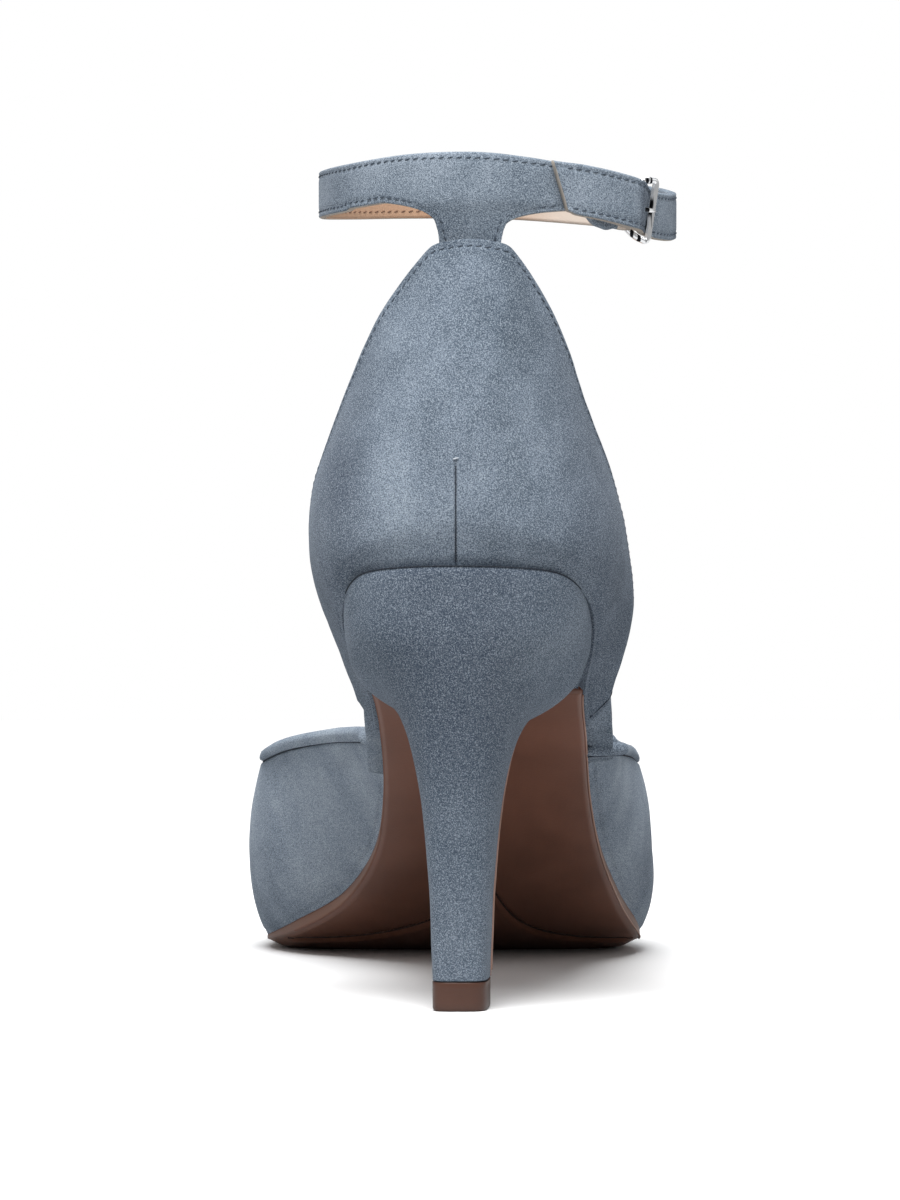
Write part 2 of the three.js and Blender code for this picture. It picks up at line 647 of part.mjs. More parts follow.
function ankleStrap() {
  return geometryOf(solid(strapBand()).add(solid(tab())).subtract(solid(prongSlot())));
}

const suede = new THREE.MeshStandardMaterial({ color: 0x74808f, roughness: 0.95, metalness: 0 });
const brown = new THREE.MeshStandardMaterial({ color: 0x573c30, roughness: 0.4, metalness: 0 });
const tan = new THREE.MeshStandardMaterial({ color: 0xbf9a80, roughness: 0.7, metalness: 0 });
const steel = new THREE.MeshStandardMaterial({ color: 0xc9ccd0, roughness: 0.15, metalness: 1 });

function node(name, geometry, material) {
  const mesh = new THREE.Mesh(geometry, material);
  mesh.name = name;
  return mesh;
}

const shoe = new THREE.Group();
shoe.add(
  node("outsole", outsole(), brown),
  node("heel", heel(), suede),
  node("top_lift", topLift(), brown),
  node("footbed", footbed(), suede),
  node("sock_lining", sock(), tan),
  node("quarter", quarter(), suede),
  node("vamp", vamp(), suede),
  node("ankle_strap", ankleStrap(), suede),
  node("buckle_frame", buckle(), steel),
  node("buckle_prong", prong(), steel),
);

export default shoe;
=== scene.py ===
"""Looks of a right ankle-strap court shoe in blue-grey suede, with its seams, stitches, sole and buckle."""

import math

import bmesh
import bpy
from mathutils import Matrix, Vector, noise


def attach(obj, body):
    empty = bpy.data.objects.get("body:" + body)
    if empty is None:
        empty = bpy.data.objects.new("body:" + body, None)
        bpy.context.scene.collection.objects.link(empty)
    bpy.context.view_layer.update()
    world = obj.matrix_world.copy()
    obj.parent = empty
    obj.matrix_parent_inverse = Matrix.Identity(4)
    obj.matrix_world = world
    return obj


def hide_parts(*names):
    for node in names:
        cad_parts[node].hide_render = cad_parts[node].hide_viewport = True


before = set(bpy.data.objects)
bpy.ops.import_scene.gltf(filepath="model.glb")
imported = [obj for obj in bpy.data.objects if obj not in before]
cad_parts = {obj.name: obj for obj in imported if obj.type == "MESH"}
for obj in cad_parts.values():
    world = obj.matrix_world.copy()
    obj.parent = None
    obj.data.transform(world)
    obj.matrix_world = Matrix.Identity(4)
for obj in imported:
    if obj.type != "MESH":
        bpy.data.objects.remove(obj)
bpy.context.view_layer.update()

# Driving sizes in millimetres, as in the part's source. "Along" runs forward from the heel cup's back, and
# "rise" up from the floor.
MM = 0.001
SHOE_LENGTH = 238
SEAT_BACK = 2
TIP_FROM_BACK = 20
BREAST = 46
GAP = 0.3
WALL = 1.7
LIFT_HEIGHT = 5.6
OUTSOLE_TREAD = 2.8
OUTSOLE_SHANK = 1.6
FOOTBED_THICK = 3.2
SOCK_THICK = 0.9
STRAP_WIDTH = 9.2
STRAP_THICK = 1.6
HEEL_YAW = 0.095


def table(columns, rows):
    """Rows of numbers under named columns."""
    names = columns.split()
    return [dict(zip(names, row)) for row in rows]


FEATHER = table(
    "along mid half rise",
    [
        (0, -0.8, 24.0, 86.6),
        (8, 0.2, 24.0, 84.7),
        (14, 0.8, 24.0, 81.7),
        (20, 1.3, 24.0, 78.0),
        (30, 1.8, 23.4, 71.2),
        (46, 3.3, 20.8, 60.4),
        (60, 4.5, 20.5, 51.0),
        (80, 5.3, 21.0, 37.8),
        (100, 5.6, 23.4, 25.4),
        (120, 4.4, 29.0, 14.4),
        (136, 1.2, 36.2, 7.2),
        (150, -1.2, 39.4, 3.4),
        (162, -2.4, 38.4, 2.6),
        (180, -3.8, 33.4, 3.1),
        (200, -5.0, 26.0, 5.0),
        (220, -5.8, 18.6, 8.2),
        (238, -6.2, 14.0, 12.0),
    ],
)

HEEL = table(
    "back tilt rear front half breast square",
    [
        (86.2, 1.0, 1.2, 45.6, 23.6, 0.84, 2.3),
        (84.6, 1.0, 1.0, 45.4, 23.7, 0.56, 2.3),
        (80.6, 0.98, 1.2, 44.6, 23.4, 0.43, 2.3),
        (73.0, 0.82, 2.0, 41.0, 21.4, 0.45, 2.3),
        (66.0, 0.6, 3.6, 36.6, 15.8, 0.63, 2.3),
        (59.0, 0.38, 5.4, 32.8, 11.9, 0.8, 2.3),
        (50.0, 0.2, 7.7, 30.2, 9.2, 0.89, 2.4),
        (38.0, 0.08, 10.4, 28.2, 7.2, 0.94, 2.6),
        (24.0, 0.02, 12.6, 26.9, 6.0, 0.96, 3.0),
        (12.0, 0.0, 13.8, 26.2, 5.5, 0.97, 3.4),
        (LIFT_HEIGHT + GAP, 0.0, 14.2, 25.8, 5.3, 0.98, 3.8),
    ],
)

QUARTER = table(
    "turn foot x along rise low high",
    [
        (-1.0, 57.5, -19.4, 56, 60.0, 0.8, 0.6),
        (-0.9, 47.5, -21.8, 50.5, 67.5, 1.7, 1.2),
        (-0.78, 38, -25.2, 45, 77.5, 2.9, 1.8),
        (-0.64, 28, -27.8, 37, 89.5, 4.2, 2.0),
        (-0.5, 18, -26.9, 31, 101.5, 5.4, 2.4),
        (-0.36, 9.5, -22.4, 23.5, 114.5, 5.2, 3.0),
        (-0.22, 4.2, -14.8, 15.6, 132.6, 4.0, 3.4),
        (-0.1, 2.3, -5.4, 10.4, 145.6, 3.2, 3.6),
        (-0.05, 2.07, -1.8, 9.7, 147.0, 3.2, 3.6),
        (0.0, 2.0, 1.9, 9.4, 147.4, 3.2, 3.6),
        (0.05, 2.07, 5.5, 9.7, 147.0, 3.2, 3.6),
        (0.1, 2.3, 9.0, 10.4, 145.6, 3.2, 3.6),
        (0.22, 4.2, 17.0, 15.6, 132.6, 4.0, 3.4),
        (0.36, 9.5, 23.6, 23.0, 114.5, 5.2, 3.0),
        (0.5, 18, 28.3, 30, 101.5, 5.4, 2.4),
        (0.64, 28, 31.0, 36, 89.5, 5.0, 2.0),
        (0.78, 38, 32.1, 43, 77.5, 4.4, 1.8),
        (0.9, 47, 30.4, 48.5, 67.0, 2.8, 1.2),
        (1.0, 56, 28.4, 55, 59.0, 1.4, 0.6),
    ],
)

VAMP = table(
    "turn foot x along rise low high",
    [
        (-1.0, 73, -18.6, 73, 50.8, 1.6, 0.8),
        (-0.85, 94, -26.8, 94, 49.2, 5.0, 1.6),
        (-0.7, 118, -36.8, 117, 46.2, 9.4, 2.6),
        (-0.56, 140, -41.2, 134, 43.2, 8.6, 3.2),
        (-0.42, 164, -38.6, 149, 42.4, 5.0, 3.4),
        (-0.28, 193, -29.0, 161, 43.6, 3.0, 2.4),
        (-0.14, 222, -15.4, 168, 45.0, 1.8, 1.0),
        (0.0, SHOE_LENGTH, -2.6, 170, 45.6, 1.4, 0.0),
        (0.14, 222, 10.2, 168, 45.0, 1.8, 1.0),
        (0.28, 193, 23.4, 161.5, 43.4, 3.0, 2.4),
        (0.42, 166, 32.8, 151, 42.0, 4.0, 3.2),
        (0.56, 143, 36.3, 137, 42.4, 6.4, 3.0),
        (0.7, 119, 35.7, 119, 44.8, 7.6, 2.4),
        (0.85, 94, 33.0, 94, 47.0, 6.4, 2.0),
        (1.0, 70, 31.0, 70, 49.0, 4.0, 1.0),
    ],
)

RING = {"x": 7.2, "along": 47.3, "wide": 34.2, "deep": 36.8}
STRAP = table(
    "angle out",
    [
        (-30, -2.0),
        (-35, -2.1),
        (-40, -2.4),
        (-45, -2.5),
        (-47.5, -1.9),
        (-48.4, -0.7),
        (-47.5, 0.6),
        (-45, 1.0),
        (-38, 0.7),
        (-29, 0.15),
        (-20, 0),
        (-8, 0),
        (8, 0),
        (30, 0),
        (60, 0),
        (90, 0),
        (120, 0),
        (150, 0),
        (180, 0),
        (210, 0),
        (240, 0),
        (265, 0),
        (285, 0),
        (297, 0),
        (301.5, 0.0),
        (306.5, 0.5),
        (310, 1.7),
        (314, 2.9),
        (319, 3.0),
        (327, 2.6),
        (334, 2.2),
        (341.5, 2.1),
    ],
)
STRAP_RISE = table(
    "angle rise",
    [
        (-66, 152.5),
        (-54, 153.4),
        (-36, 155.8),
        (-18, 157.8),
        (0, 159.35),
        (16, 159.8),
        (34, 159.2),
        (52, 158.1),
        (90, 157.1),
        (180, 158.0),
        (235, 155.2),
        (275, 152.9),
        (294, 152.5),
        (306, 153.4),
        (324, 155.8),
        (342, 157.8),
    ],
)
TAIL_SLANT = 2.1
TAB_CENTRE = 2.3
# Half width of the tab at each height, and where its outer face lies.
TAB = table(
    "rise half along",
    [
        (139.5, 6.0, 10.6),
        (143.0, 6.5, 10.9),
        (147.5, 6.5, 11.2),
        (149.4, 6.9, 11.0),
        (151.4, 8.1, 10.7),
        (153.0, 10.4, 10.4),
        (154.0, 13.0, 10.1),
        (154.8, 16.6, 9.9),
        (157.0, 24.0, 9.75),
    ],
)


def reader(rows, key, column):
    """Smooth reading of one column, by a cubic through its rows."""
    x = [row[key] for row in rows]
    y = [row[column] for row in rows]
    last = len(y) - 1
    slope = [
        (y[min(i + 1, last)] - y[max(i - 1, 0)]) / (x[min(i + 1, last)] - x[max(i - 1, 0)])
        for i in range(len(y))
    ]

    def read(at):
        t = min(max(at, x[0]), x[-1])
        i = 0
        while i < last - 1 and x[i + 1] < t:
            i += 1
        h = x[i + 1] - x[i]
        u = (t - x[i]) / h
        return (
            y[i] * (1 + 2 * u) * (1 - u) ** 2
            + slope[i] * h * u * (1 - u) ** 2
            + y[i + 1] * u * u * (3 - 2 * u)
            + slope[i + 1] * h * u * u * (u - 1)
        )

    return read


def clamp(x, low=0.0, high=1.0):
    return min(max(x, low), high)


def smooth(a, b, x):
    """0 at a, 1 at b."""
    t = clamp((x - a) / (b - a))
    return t * t * (3 - 2 * t)


def mix(a, b, t):
    return a + (b - a) * t


def bell(x, centre, width):
    """A soft bump of height 1 at the centre."""
    return math.exp(-(((x - centre) / width) ** 2))


def place(x, along, rise):
    return Vector((x, along - TIP_FROM_BACK, rise))


def loop_place(u, count):
    """Which step of a closed outline u reaches, from 0 to 1 all round, and how far into it."""
    spot = u * count
    return int(spot) % count, spot - int(spot)


def wander(point, scale, seed=0.0):
    """Smooth noise from -1 to 1 with features about this many millimetres wide."""
    return noise.noise(point / scale + Vector((seed, seed * 2.3, seed * 4.1)))


feather_mid = reader(FEATHER, "along", "mid")
feather_half_table = reader(FEATHER, "along", "half")
feather_rise = reader(FEATHER, "along", "rise")
SEAT_ROUND = 24
TOE_ROUND = 200


def feather_half(along):
    behind = clamp((SEAT_ROUND - along) / (SEAT_ROUND - SEAT_BACK))
    ahead = clamp((along - TOE_ROUND) / (SHOE_LENGTH - TOE_ROUND))
    heel_round = (1 - behind**2.3) ** (1 / 2.3)
    toe_round = (1 - ahead**2.6) ** 0.5
    return feather_half_table(along) * heel_round * toe_round


def feather(along, side):
    return place(feather_mid(along) + side * feather_half(along), along, feather_rise(along))


class Upper:
    """An upper part's surface: for each turn, a curve from the feather line to the top line."""

    def __init__(self, rows, reach):
        self.read = {c: reader(rows, "turn", c) for c in "foot x along rise low high".split()}
        self.reach = reach
        self.kept = {}

    def foot(self, turn):
        along = clamp(self.read["foot"](turn), SEAT_BACK, SHOE_LENGTH)
        return feather(along, -1 if turn < 0 else 1) + Vector((0, 0, GAP))

    def curve(self, turn):
        key = round(turn, 7)
        if key not in self.kept:
            foot = self.foot(turn)
            run = self.foot(turn + 0.02) - self.foot(turn - 0.02)
            out = Vector((run.y, -run.x, 0)).normalized()
            if self.reach:
                out.negate()
            top = place(self.read["x"](turn), self.read["along"](turn), self.read["rise"](turn))
            height = top.z - foot.z
            span = foot - top
            span.z = 0
            lower = foot + out * self.read["low"](turn)
            lower.z += height * (0.3 if self.reach else 0.33)
            upper = top + out * self.read["high"](turn) + span * (0.42 if self.reach else 0.1)
            upper.z -= height * (0.2 if self.reach else 0.33)
            self.kept[key] = (foot, lower, upper, top)
        return self.kept[key]

    def point(self, turn, v):
        a, b, c, d = self.curve(turn)
        w = 1 - v
        return a * w**3 + b * 3 * w * w * v + c * 3 * w * v * v + d * v**3

    def length(self, turn):
        a, b, c, d = self.curve(turn)
        return ((b - a).length + (c - b).length + (d - c).length + (d - a).length) / 2

    def out(self, turn, v):
        """The outward normal."""
        du = self.point(clamp(turn + 0.008, -1, 1), v) - self.point(clamp(turn - 0.008, -1, 1), v)
        dv = self.point(turn, min(v + 0.02, 1)) - self.point(turn, max(v - 0.02, 0))
        normal = du.cross(dv).normalized()
        return -normal if self.reach else normal


quarter = Upper(QUARTER, False)
vamp = Upper(VAMP, True)


# Mesh helpers

def piece(name, bm, materials, replaces=(), smooth_faces=True):
    """Turns the bmesh into an object that rides on the shoe."""
    mesh = bpy.data.meshes.new(name)
    bm.to_mesh(mesh)
    bm.free()
    for polygon in mesh.polygons:
        polygon.use_smooth = smooth_faces
    obj = bpy.data.objects.new(name, mesh)
    bpy.context.scene.collection.objects.link(obj)
    for material in materials:
        mesh.materials.append(material)
    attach(obj, "root")
    if replaces:
        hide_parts(*replaces)
    return obj


def grid(across, down, at, paint=None):
    """A grid whose points are placed by at(u, v), in millimetres, with a material by paint(u, v).

    Both u and v run from 0 to 1.
    """
    bm = bmesh.new()
    bm.loops.layers.uv.new("UVMap")
    bmesh.ops.create_grid(bm, x_segments=across, y_segments=down, size=0.5, calc_uvs=True)
    for face in bm.faces if paint else []:
        middle = face.calc_center_median()
        face.material_index = paint(middle.x + 0.5, middle.y + 0.5)
    for vert in bm.verts:
        vert.co = at(clamp(vert.co.x + 0.5), clamp(vert.co.y + 0.5)) * MM
    return bm


def closed(bm, fill=True, cap=0):
    """Joins the grid's meeting borders, fills open ends and turns all faces outwards."""
    bmesh.ops.remove_doubles(bm, verts=bm.verts, dist=2e-6)
    if fill:
        rim = [edge for edge in bm.edges if edge.is_boundary]
        for face in bmesh.ops.holes_fill(bm, edges=rim, sides=0)["faces"]:
            face.material_index = cap
    bmesh.ops.recalc_face_normals(bm, faces=bm.faces)
    return bm


def solidify(obj, thick, inner=1):
    """Gives a sheet its thickness inwards. The inner face is painted this many materials further on."""
    mod = obj.modifiers.new("wall", "SOLIDIFY")
    mod.thickness = thick * MM
    mod.offset = -1
    mod.use_even_offset = True
    mod.material_offset = inner
    mod.material_offset_rim = 0


def bevel(obj, width, segments=2, angle=50):
    mod = obj.modifiers.new("edges", "BEVEL")
    mod.width = width * MM
    mod.segments = segments
    mod.profile = 0.5
    mod.limit_method = "ANGLE"
    mod.angle_limit = math.radians(angle)
    mod.harden_normals = False


# Materials

class Wire:
    """A shader socket that reads as a number or a vector in sums and products."""

    def __init__(self, graph, socket):
        self.graph = graph
        self.socket = socket

    def _math(self, kind, a, b=0.0):
        return self.graph.node("ShaderNodeMath", {"operation": kind}, {0: a, 1: b})

    def __add__(self, other):
        return self._math("ADD", self, other)

    def __radd__(self, other):
        return self._math("ADD", other, self)

    def __sub__(self, other):
        return self._math("SUBTRACT", self, other)

    def __rsub__(self, other):
        return self._math("SUBTRACT", other, self)

    def __mul__(self, other):
        return self._math("MULTIPLY", self, other)

    def size(self):
        return self._math("ABSOLUTE", self)

    def most(self, other):
        return self._math("MAXIMUM", self, other)

    def least(self, other):
        return self._math("MINIMUM", self, other)

    def ramp(self, low, high):
        """0 below low, 1 above high, smooth between."""
        settings = {"interpolation_type": "SMOOTHSTEP"}
        return self.graph.node("ShaderNodeMapRange", settings, {0: self, 1: low, 2: high, 3: 0.0, 4: 1.0})


class Graph:
    """One material's nodes."""

    def __init__(self, name, **constants):
        self.material = bpy.data.materials.new(name)
        self.material.use_nodes = True
        self.tree = self.material.node_tree
        self.bsdf = self.tree.nodes["Principled BSDF"]
        for key, value in constants.items():
            self.bsdf.inputs[key.replace("_", " ")].default_value = value
        self.spot = self.node("ShaderNodeTexCoord", out="Object")

    def node(self, kind, settings=None, sockets=None, out=0):
        made = self.tree.nodes.new(kind)
        for key, value in (settings or {}).items():
            setattr(made, key, value)
        for key, value in (sockets or {}).items():
            self.feed(made.inputs[key], value)
        return Wire(self, made.outputs[out])

    def feed(self, socket, value):
        if isinstance(value, Wire):
            self.tree.links.new(value.socket, socket)
        else:
            socket.default_value = value

    def axes(self):
        """Object coordinates in millimetres."""
        parts = self.node("ShaderNodeSeparateXYZ", sockets={0: self.spot}).socket.node
        return [Wire(self, parts.outputs[k]) * 1000.0 for k in range(3)]

    def noise(self, size, detail=2.0, rough=0.5, stretch=(1, 1, 1), twist=0.0, seed=0.0):
        """Noise from 0 to 1 with features about this many millimetres wide."""
        scale = tuple(1000.0 / (size * s) for s in stretch)
        shift = (seed, seed * 1.7, seed * 0.6)
        settings = {"operation": "MULTIPLY_ADD"}
        scaled = self.node("ShaderNodeVectorMath", settings, {0: self.spot, 1: scale, 2: shift})
        sockets = {"Vector": scaled, "Scale": 1.0, "Detail": detail, "Roughness": rough, "Distortion": twist}
        return self.node("ShaderNodeTexNoise", sockets=sockets)

    def blend(self, a, b, share):
        """Colour a where the share is 0, b where it is 1."""
        settings = {"data_type": "RGBA"}
        made = self.node("ShaderNodeMix", settings, {0: share}).socket.node
        self.feed(made.inputs[6], a)
        self.feed(made.inputs[7], b)
        return Wire(self, made.outputs[2])

    def bump(self, height, distance, strength=1.0):
        sockets = {"Height": height, "Distance": distance * MM, "Strength": strength}
        return self.node("ShaderNodeBump", sockets=sockets)

    def finish(self, colour, rough=None, normal=None):
        self.feed(self.bsdf.inputs["Base Color"], colour)
        if rough is not None:
            self.feed(self.bsdf.inputs["Roughness"], rough)
        if normal is not None:
            self.feed(self.bsdf.inputs["Normal"], normal)
        return self.material


def rgb(code):
    """A linear colour from a web colour."""
    channels = [int(code[k : k + 2], 16) / 255 for k in (0, 2, 4)]
    return tuple(c / 12.92 if c <= 0.04045 else ((c + 0.055) / 1.055) ** 2.4 for c in channels) + (1.0,)


# Blue-grey that the shade masks blend towards: painted shade where surfaces turn from the light, and a few
# darker patches.
DARK_PATCH_AND_PAINTED_SHADE = "3c4656"
FIBRE_DARK = "333e4b"
FIBRE_PALE = "c3ced9"
FIBRE_SHEEN = "c4ceda"
TONE_CONTRAST = 3.4
SPECK_CONTRAST = 9.0
NAP_DEPTH = 0.16


def suede(name, dark="56626f", mid="727e8c", light="8a96a3", shade=None):
    """Brushed nap: soft clouds where it has been stroked, and a fine grain of fibre tips."""
    graph = Graph(name, Roughness=0.95, Sheen_Weight=0.22, Sheen_Roughness=0.4, Specular_IOR_Level=0.12)
    graph.bsdf.inputs["Sheen Tint"].default_value = rgb(FIBRE_SHEEN)
    broad = graph.noise(30, 2, 0.5, seed=0.4)
    marks = graph.noise(8, 4, 0.6, (1, 1, 1.3), 0.5, 3.1)
    pile = graph.noise(0.25, 2, 0.6, seed=7.7)
    tips = graph.noise(0.14, 1, 0.5, seed=1.3)
    tone = (broad * 0.6 + marks * 0.4 - 0.5) * TONE_CONTRAST + 0.5
    colour = graph.blend(rgb(dark), rgb(mid), (tone * 2.0).least(1.0).most(0.0))
    colour = graph.blend(colour, rgb(light), (tone * 2.0 - 1.0).most(0.0).least(1.0))
    speck = (pile * 0.6 + tips * 0.4 - 0.5) * SPECK_CONTRAST
    # Painted shade and darker patches: a shade mask blends the colour towards the dark blue-grey.
    if shade is not None:
        colour = graph.blend(colour, rgb(DARK_PATCH_AND_PAINTED_SHADE), shade(graph))
    colour = graph.blend(colour, rgb(FIBRE_DARK), (0.0 - speck).most(0.0).least(1.0) * 0.66)
    colour = graph.blend(colour, rgb(FIBRE_PALE), speck.most(0.0).least(1.0) * 0.44)
    height = pile * 0.6 + tips * 0.4 + marks * 0.4
    return graph.finish(colour, normal=graph.bump(height, NAP_DEPTH, 0.8))


def quarter_shade(graph):
    """A soft darker patch low on the inner side, and painted shade on the flanks, which darken as they turn
    away from the light.
    """
    x, y, z = graph.axes()
    aside = (x + 23.0).size().ramp(1.0, 6.0)
    high = (z - 101.0).size().ramp(2.0, 12.0)
    flank = (x - 1.0).size().ramp(11.0, 27.0)
    return ((1.0 - aside) * (1.0 - high) * 0.3 + flank * 0.56).least(1.0)


def vamp_shade(graph):
    """A darker patch low on the outer side."""
    x, y, z = graph.axes()
    along = (y - 119.0).size().ramp(4.0, 24.0)
    high = (z - 22.0).size().ramp(3.0, 17.0)
    return (1.0 - along) * (1.0 - high) * x.ramp(18.0, 30.0) * 0.5


def heel_shade(graph):
    """Painted shade: the cover is darker down its middle, below the seat, where it faces down from the
    light, and a little darker all over.
    """
    x, y, z = graph.axes()
    middle = 1.0 - (x + 1.0).size().ramp(5.0, 20.0)
    return middle * z.ramp(32.0, 58.0) * 0.46 + 0.2


def strap_shade(graph):
    """Painted shade where the strap turns away on the inner side, and a painted shadow in the gap beside the
    buckle.
    """
    x, y, z = graph.axes()
    inner = 1.0 - x.ramp(-27.0, -14.0)
    gap = 1.0 - (x - 35.4).size().ramp(0.4, 1.6)
    return (inner * 0.3 + gap * y.ramp(-6.0, 0.0) * 0.75).least(1.0)


SUEDE = suede("suede")
QUARTER_SUEDE = suede("suede_quarter", shade=quarter_shade)
# Painted light in the palettes: the vamp's and the strap's suede are lighter copies of one suede, and the
# heel's a darker copy, for how the light falls on them.
VAMP_SUEDE = suede("suede_vamp", dark="667280", mid="808c9a", light="97a2ae", shade=vamp_shade)
HEEL_SUEDE = suede("suede_heel", dark="53606e", mid="65717f", light="788491", shade=heel_shade)
STRAP_SUEDE = suede("suede_strap", dark="5f6b78", mid="7b8794", light="949fac", shade=strap_shade)


def lit_lining_mask(graph):
    """Full where the strap's lining is painted paler, towards the buckle: painted light where it is lit."""
    x, y, z = graph.axes()
    return x.ramp(2.0, 24.0) * 0.8


# Pale cream painted over the lining towards the buckle, as painted light.
LIT_LINING_PAINT = "ddd5cb"


def leather(name, dark, light, rough, grain=0.05, coat=0.0, pale=None):
    """Smooth or raw leather, rubber or thread: clouded colour, fine grain and worn streaks."""
    graph = Graph(name, Coat_Weight=coat, Coat_Roughness=0.25, Specular_IOR_Level=0.5)
    cloud = graph.noise(30, 3, 0.5, (1, 1, 1), 0.4).ramp(0.3, 0.7)
    fine = graph.noise(0.5, 3, 0.6)
    wear = graph.noise(5, 3, 0.6, (0.5, 2.2, 2.2), 0.3, 5.0)
    colour = graph.blend(rgb(dark), rgb(light), cloud * 0.7 + fine * 0.2)
    # Where a pale mask is given, painted light: the colour is blended towards a pale cream.
    if pale is not None:
        colour = graph.blend(colour, rgb(LIT_LINING_PAINT), pale(graph))
    return graph.finish(colour, rough + wear * 0.14 - 0.07, graph.bump(fine * 0.7 + wear * 0.6, grain, 0.6))


SOLE = leather("sole_leather", "613c2c", "7d5241", 0.34, 0.05, 0.1)
SOLE_EDGE = leather("sole_edge", "654538", "7d5a49", 0.5)
RAW_EDGE = leather("raw_edge", "977565", "b8968a", 0.7)
LIFT = leather("top_lift_rubber", "4b3026", "5c3e32", 0.34)
LINING = leather("lining_leather", "b78f74", "cba88c", 0.55, 0.08)
STRAP_LINING = leather("strap_lining", "b78f74", "cba88c", 0.55, 0.08, pale=lit_lining_mask)
CUT_EDGE = leather("cut_edge", "938c84", "b5ada2", 0.8)
THREAD = leather("thread", "38434f", "4e5a69", 0.6)
TAN_THREAD = leather("thread_tan", "5d4030", "7a5a48", 0.6)
PAD_SHADOW = leather("pad_shadow", "2e1c15", "3b261d", 0.7)
PALE_THREAD = leather("thread_pale", "aab2bb", "c6ccd2", 0.7)
# Dark lines painted as shadow in the seams' grooves, under folded edges and beside the rolls.
SEAM_SHADOW = leather("seam_shadow", "1d242d", "2a323d", 0.9)


def metal():
    """Bright metal with a painted reflection: dark streaks painted into its colour as it mirrors a studio,
    and a faint painted glow of the same colour.
    """
    # Painted light: a faint emission makes the metal glow, though it is no lamp.
    graph = Graph("polished_metal", Metallic=1.0, Roughness=0.12, Emission_Strength=0.3)
    scuff = graph.noise(1.6, 3, 0.6)
    painted_reflection = graph.noise(0.9, 1, 0.4, (1, 1, 7), 0.0, 2.0).ramp(0.52, 0.6)
    colour = graph.blend(graph.blend(rgb("f4f5f6"), rgb("c9cbce"), scuff), rgb("17191c"), painted_reflection)
    graph.feed(graph.bsdf.inputs["Emission Color"], colour)
    return graph.finish(colour, 0.07 + scuff * 0.1)


METAL = metal()


# Quarter

DART_X = -1.0
DART_TOP = 105.0
DART_DEPTH = 0.45
HEM = 2.2
ROW_IN = 1.25
ROW_RAISED = 0.11
# How far the cup's outer face stands off its surface.
QUARTER_FACE = 1.15


def quarter_turn(u):
    """Closer columns near the dart up the back."""
    t = 2 * u - 1
    return mix(t, t**3, 0.45)


def quarter_at(u, v):
    turn = quarter_turn(u)
    length = quarter.length(turn)
    spot = quarter.point(turn, v)
    out = quarter.out(turn, v)
    from_top = (1 - v) * length
    from_foot = v * length
    rise = QUARTER_FACE * mix(smooth(0.0, 0.14, v), 1.0, smooth(0.35, 0.6, abs(turn)))
    rise += 0.16 * smooth(HEM + 0.6, HEM - 0.2, from_top)
    rise -= 0.2 * bell(from_top, ROW_IN, 0.42)
    rise -= 0.55 * smooth(1.1, 0.0, from_foot)
    below_dart = smooth(DART_TOP + 3.0, DART_TOP - 2.0, spot.z) * (spot.y < 0)
    rise -= (DART_DEPTH * bell(spot.x, DART_X, 0.3) + 0.2 * bell(spot.x, DART_X, 1.6)) * below_dart
    rise += 0.28 * wander(spot, 14, 2.0) + 0.1 * wander(spot, 5, 4.0)
    spot = spot + out * rise
    spot.z -= 1.3 * smooth(0.7, 0.0, from_foot)
    return spot


def build_quarter():
    bm = grid(320, 110, quarter_at)
    bmesh.ops.recalc_face_normals(bm, faces=bm.faces)
    back = Vector((0, -TIP_FROM_BACK, 110)) * MM
    middle = min(bm.faces, key=lambda face: (face.calc_center_median() - back).length)
    if middle.normal.y > 0:
        bmesh.ops.reverse_faces(bm, faces=bm.faces)
    obj = piece("quarter_wall", bm, [QUARTER_SUEDE, LINING], ["quarter"])
    solidify(obj, WALL)
    bevel(obj, 0.45, 3)


# Vamp, with its rolled binding

BINDING = 3.3
BINDING_STEP = 0.55
VAMP_SKIVE = 0.2


def vamp_at(u, v):
    turn = 1 - 2 * u
    length = vamp.length(turn)
    spot = vamp.point(turn, v)
    out = vamp.out(turn, v)
    from_top = (1 - v) * length
    from_foot = v * length
    rise = -BINDING_STEP * smooth(BINDING + 0.9, BINDING - 0.3, from_top)
    rise -= 0.5 * smooth(1.4, 0.0, from_foot)
    rise += 0.3 * wander(spot, 17, 6.0) + 0.1 * wander(spot, 6, 8.0)
    crease = bell(spot.y, 72, 7) * (spot.x < 0)
    rise -= 0.5 * crease * bell(spot.z + 0.12 * spot.y, 51.0, 0.9)
    rise -= 0.35 * crease * bell(spot.z - 0.1 * spot.y, 33.0, 0.8)
    hollow = bell(spot.y, 116, 11) * bell(spot.z, 22, 9) * (spot.x > 0)
    rise -= 0.9 * hollow
    spot = spot + out * rise
    spot.z -= 1.0 * smooth(0.9, 0.0, from_foot)
    return spot


def build_vamp():
    bm = grid(340, 100, vamp_at)
    obj = piece("vamp_wall", bm, [VAMP_SUEDE, LINING], ["vamp"])
    face_out(obj, Vector((0, 0.15, 0.01)))
    solidify(obj, WALL - VAMP_SKIVE)
    bevel(obj, 0.4, 2)


def face_out(obj, inside):
    """Turns an open sheet so that its faces point away from a point inside the shoe."""
    bm = bmesh.new()
    bm.from_mesh(obj.data)
    bmesh.ops.recalc_face_normals(bm, faces=bm.faces)
    away = sum(face.normal.dot(face.calc_center_median() - inside) * face.calc_area() for face in bm.faces)
    if away < 0:
        bmesh.ops.reverse_faces(bm, faces=bm.faces)
    bm.to_mesh(obj.data)
    bm.free()


